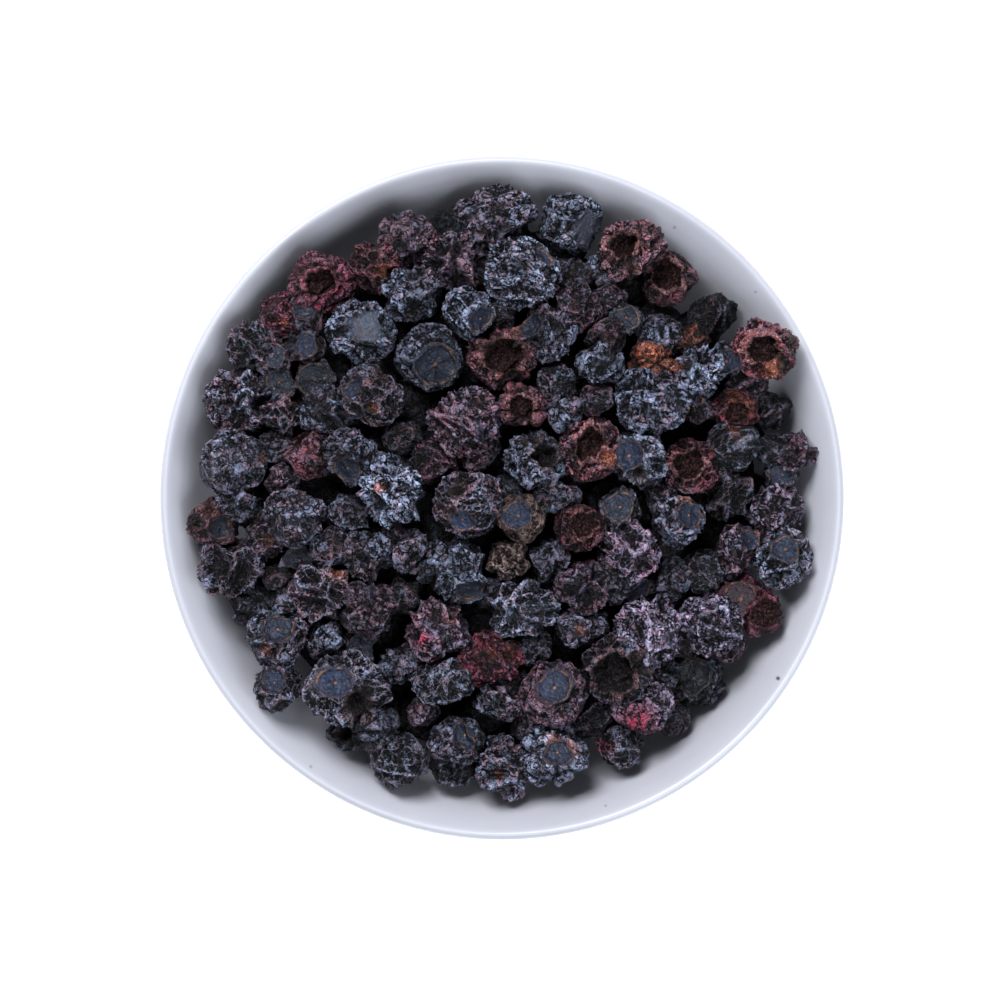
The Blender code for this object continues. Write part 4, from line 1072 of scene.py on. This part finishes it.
def skinMaterial(name):
    look = {**skinFinish, **skins[name]}
    material, tree, shader = newMaterial(name + "Skin")
    still = addNode(tree, "ShaderNodeTexCoord").outputs["Object"]
    marks = addNode(tree, "ShaderNodeAttribute", attribute_name="marks")
    tonesAndShade = addNode(tree, "ShaderNodeAttribute", attribute_name="toneAndShade")
    ridge, disc, torn = addNode(tree, "ShaderNodeSeparateXYZ", Vector=marks.outputs["Vector"]).outputs
    light, calm, haze = addNode(tree, "ShaderNodeSeparateXYZ", Vector=tonesAndShade.outputs["Vector"]).outputs
    hollow = marks.outputs["Alpha"]
    fleck = tonesAndShade.outputs["Alpha"]

    place = bentPlace(tree, still, look)
    grain = noiseAt(tree, place, look["grainSize"], 3.0, look["grainRough"])
    parts = {
        "ridge": ridge,
        "line": netLine(tree, place, look),
        "fold": foldTop(tree, place, look["foldSize"], look["foldGain"]),
        "wideFold": foldTop(tree, place, look["wideFoldSize"], look["foldGain"]),
        "grain": grain,
        "grainy": maths(tree, "SUBTRACT", grain, 0.5),
    }
    netted = ramp(tree, haze, *look["netBerries"])
    creased = weighed(tree, parts, look["creasedTint"])
    laced = weighed(tree, parts, look["lacedTint"])
    share = ramp(tree, ramp(tree, netted, 0.0, 1.0, creased, laced), *look["tintRange"])
    share = ramp(tree, calm, 0.0, 1.0, share, look["calmShare"])

    cloud = ramp(tree, noiseAt(tree, still, look["cloudSize"]), *look["cloudRange"])
    crest = blend(tree, cloud, look["ridge"], look["cloud"])
    flush = noiseAt(tree, still, look["flushSize"], 3.0, look["flushRough"])
    flush = maths(tree, "ADD", flush, maths(tree, "MULTIPLY", haze, look["flushHaze"]))
    flush = ramp(tree, flush, *look["flushRange"], 0.0, look["flushShare"])
    crest = blend(tree, flush, crest, look["flush"])
    # from the crease colour, dark skin with painted shade, to the crest, pale bloom with painted highlight
    colour = blend(tree, share, look["crease"], crest)

    edge = maths(tree, "MULTIPLY", torn, ramp(tree, grain, *look["tornRange"]))
    colour = blend(tree, edge, colour, look["torn"])
    # the dark flesh inside a mouth, nearly black as painted shade
    inner = blend(tree, ramp(tree, grain, *look["fleshRange"]), look["hollow"], look["flesh"])
    colour = blend(tree, maths(tree, "MULTIPLY", hollow, look["hollowShare"]), colour, inner)
    spot = maths(tree, "MULTIPLY", fleck, ramp(tree, grain, *look["fleckRange"]), clamp=True)
    colour = blend(tree, spot, colour, look["fleck"])
    blush = maths(tree, "MULTIPLY", share, -look["blushShare"])      # a blush is a fleck below zero
    colour = blend(tree, maths(tree, "MULTIPLY", fleck, blush, clamp=True), colour, look["blush"])
    colour, inside = discColours(tree, colour, disc, haze, place, look)
    # the colour times the light, which holds painted shade and painted light
    dimmed = addNode(tree, "ShaderNodeCombineXYZ", X=light, Y=light, Z=light).outputs[0]
    plug(tree, blend(tree, 1.0, colour, dimmed, "MULTIPLY"), shader.inputs["Base Color"])

    shade = maths(tree, "SUBTRACT", 1.0, light, clamp=True)
    rough = ramp(tree, share, 0.0, 1.0, look["roughCrease"], look["roughRidge"])
    rough = maths(tree, "ADD", rough, maths(tree, "MULTIPLY", hollow, look["hollowRough"]))
    rough = maths(tree, "ADD", rough, maths(tree, "MULTIPLY", shade, look["shadeRough"]))
    plug(tree, ramp(tree, inside, 0.0, 1.0, rough, look["calyxRough"]), shader.inputs["Roughness"])
    shader.inputs["Specular IOR Level"].default_value = look["specular"]

    creased = weighed(tree, parts, look["creasedRelief"])
    laced = weighed(tree, parts, look["lacedRelief"])
    relief = ramp(tree, netted, 0.0, 1.0, creased, laced)
    flatDisc = maths(tree, "MULTIPLY", inside, look["flatDisc"])
    flatSkin = maths(tree, "MAXIMUM", flatDisc, maths(tree, "MULTIPLY", calm, look["flatCalm"]))
    relief = maths(tree, "MULTIPLY", relief, maths(tree, "SUBTRACT", 1.0, flatSkin))
    raised(tree, shader, relief, look["bumpHeight"])
    return material


def fleshAndShadeMaterial(name):
    # the flesh deep in a torn mouth, dull and nearly black: its own dark colour with painted shade
    look = {**skinFinish, **skins[name]}
    material, tree, shader = newMaterial(name + "Hollow")
    place = addNode(tree, "ShaderNodeTexCoord").outputs["Object"]
    grain = noiseAt(tree, place, look["deepGrain"], 3.0, look["grainRough"])
    colour = blend(tree, ramp(tree, grain, *look["deepRange"]), look["hollow"], look["flesh"])
    plug(tree, colour, shader.inputs["Base Color"])
    shader.inputs["Roughness"].default_value = look["deepRough"]
    shader.inputs["Specular IOR Level"].default_value = look["deepSpecular"]
    raised(tree, shader, grain, look["deepBump"])
    return material


def berryPiece(name, surfaces, finishes, node):
    places = []
    faces = []
    marks = []
    tonesAndShade = []
    for points, sides, spots, shades in surfaces:
        start = len(places)
        places += points
        faces += [[start + corner for corner in side] for side in sides]
        marks += spots
        tonesAndShade += shades
    mesh = bpy.data.meshes.new(name)
    mesh.from_pydata(places, [], faces)
    for label, values in (("marks", marks), ("toneAndShade", tonesAndShade)):
        layer = mesh.attributes.new(label, "FLOAT_COLOR", "POINT")
        layer.data.foreach_set("color", [part for value in values for part in value])
    mesh.shade_smooth()
    mesh.materials.append(finishes[0])
    deep = [min(marks[corner][3] for corner in face) > skinFinish["deepHollow"] for face in faces]
    if any(deep):
        mesh.materials.append(finishes[1])
        mesh.polygons.foreach_set("material_index", [int(dark) for dark in deep])
    piece = placed(name, mesh)
    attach(piece, "root")
    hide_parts(node)


def bandOf(berry):
    return next(name for name, line in heap["bands"].items() if berry["y"] > line)


def skinName(berry):
    return special(berry).get("skin") or skinOf.get(berry["tint"], berry["tint"])


def makeBerries():
    noise.seed_set(wrinkles["noiseSeed"])
    shown = listBerries()
    berries = shown + fillBerries(shown)
    heights = restHeights(berries)
    materials = {name: (skinMaterial(name), fleshAndShadeMaterial(name)) for name in skins}
    groups = {}
    count = dict.fromkeys(looseTints, 0)
    for index, berry in enumerate(berries):
        surface = berrySurface(berry, index, heights[index])
        tint = berry["tint"]
        if isLoose(berry):
            count[tint] += 1
            name = f"{tint}Berry{count[tint]}"
            node = f"{tint}_berry_{count[tint]}"
            berryPiece(name, [surface], materials[skinName(berry)], node)
        else:
            groups.setdefault((skinName(berry), bandOf(berry)), []).append(surface)
    groups["ink", "bed"] = [berrySurface(berry, heap["bedShapeSeed"] + number, height)
                            for number, (berry, height) in enumerate(bedBerries())]
    groups["ink", "bed"].append(shadowMound())
    for (tint, band), surfaces in groups.items():
        name = f"{tint}Berries_{band}"
        berryPiece(name, surfaces, materials[tint], "berry_heap")
        triangles = sum(len(side) - 2 for points, sides, spots, shades in surfaces for side in sides)
        print(name, "with", len(surfaces), "forms and", triangles, "triangles")


def makeFloor():
    mesh = bpy.data.meshes.new("floor")
    half = floor["width"] / 2.0 * mm
    corners = [(-half, -half, 0), (half, -half, 0), (half, half, 0), (-half, half, 0)]
    mesh.from_pydata(corners, [], [(0, 1, 2, 3)])
    piece = placed("floor", mesh)
    material, tree, shader = newMaterial("paleFloor")
    shader.inputs["Base Color"].default_value = (*floor["colour"], 1.0)
    shader.inputs["Roughness"].default_value = floor["roughness"]
    shader.inputs["Emission Color"].default_value = (1.0, 1.0, 1.0, 1.0)
    shader.inputs["Emission Strength"].default_value = floor["glow"]
    mesh.materials.append(material)


makeCamera()
makeSky()
for lampName in ("key", "far"):
    makeLamp(lampName, lights[lampName])
makeFloor()
print("camera, light and floor made")
makeBowl()
print("bowl made")
makeBerries()
print("berries made")
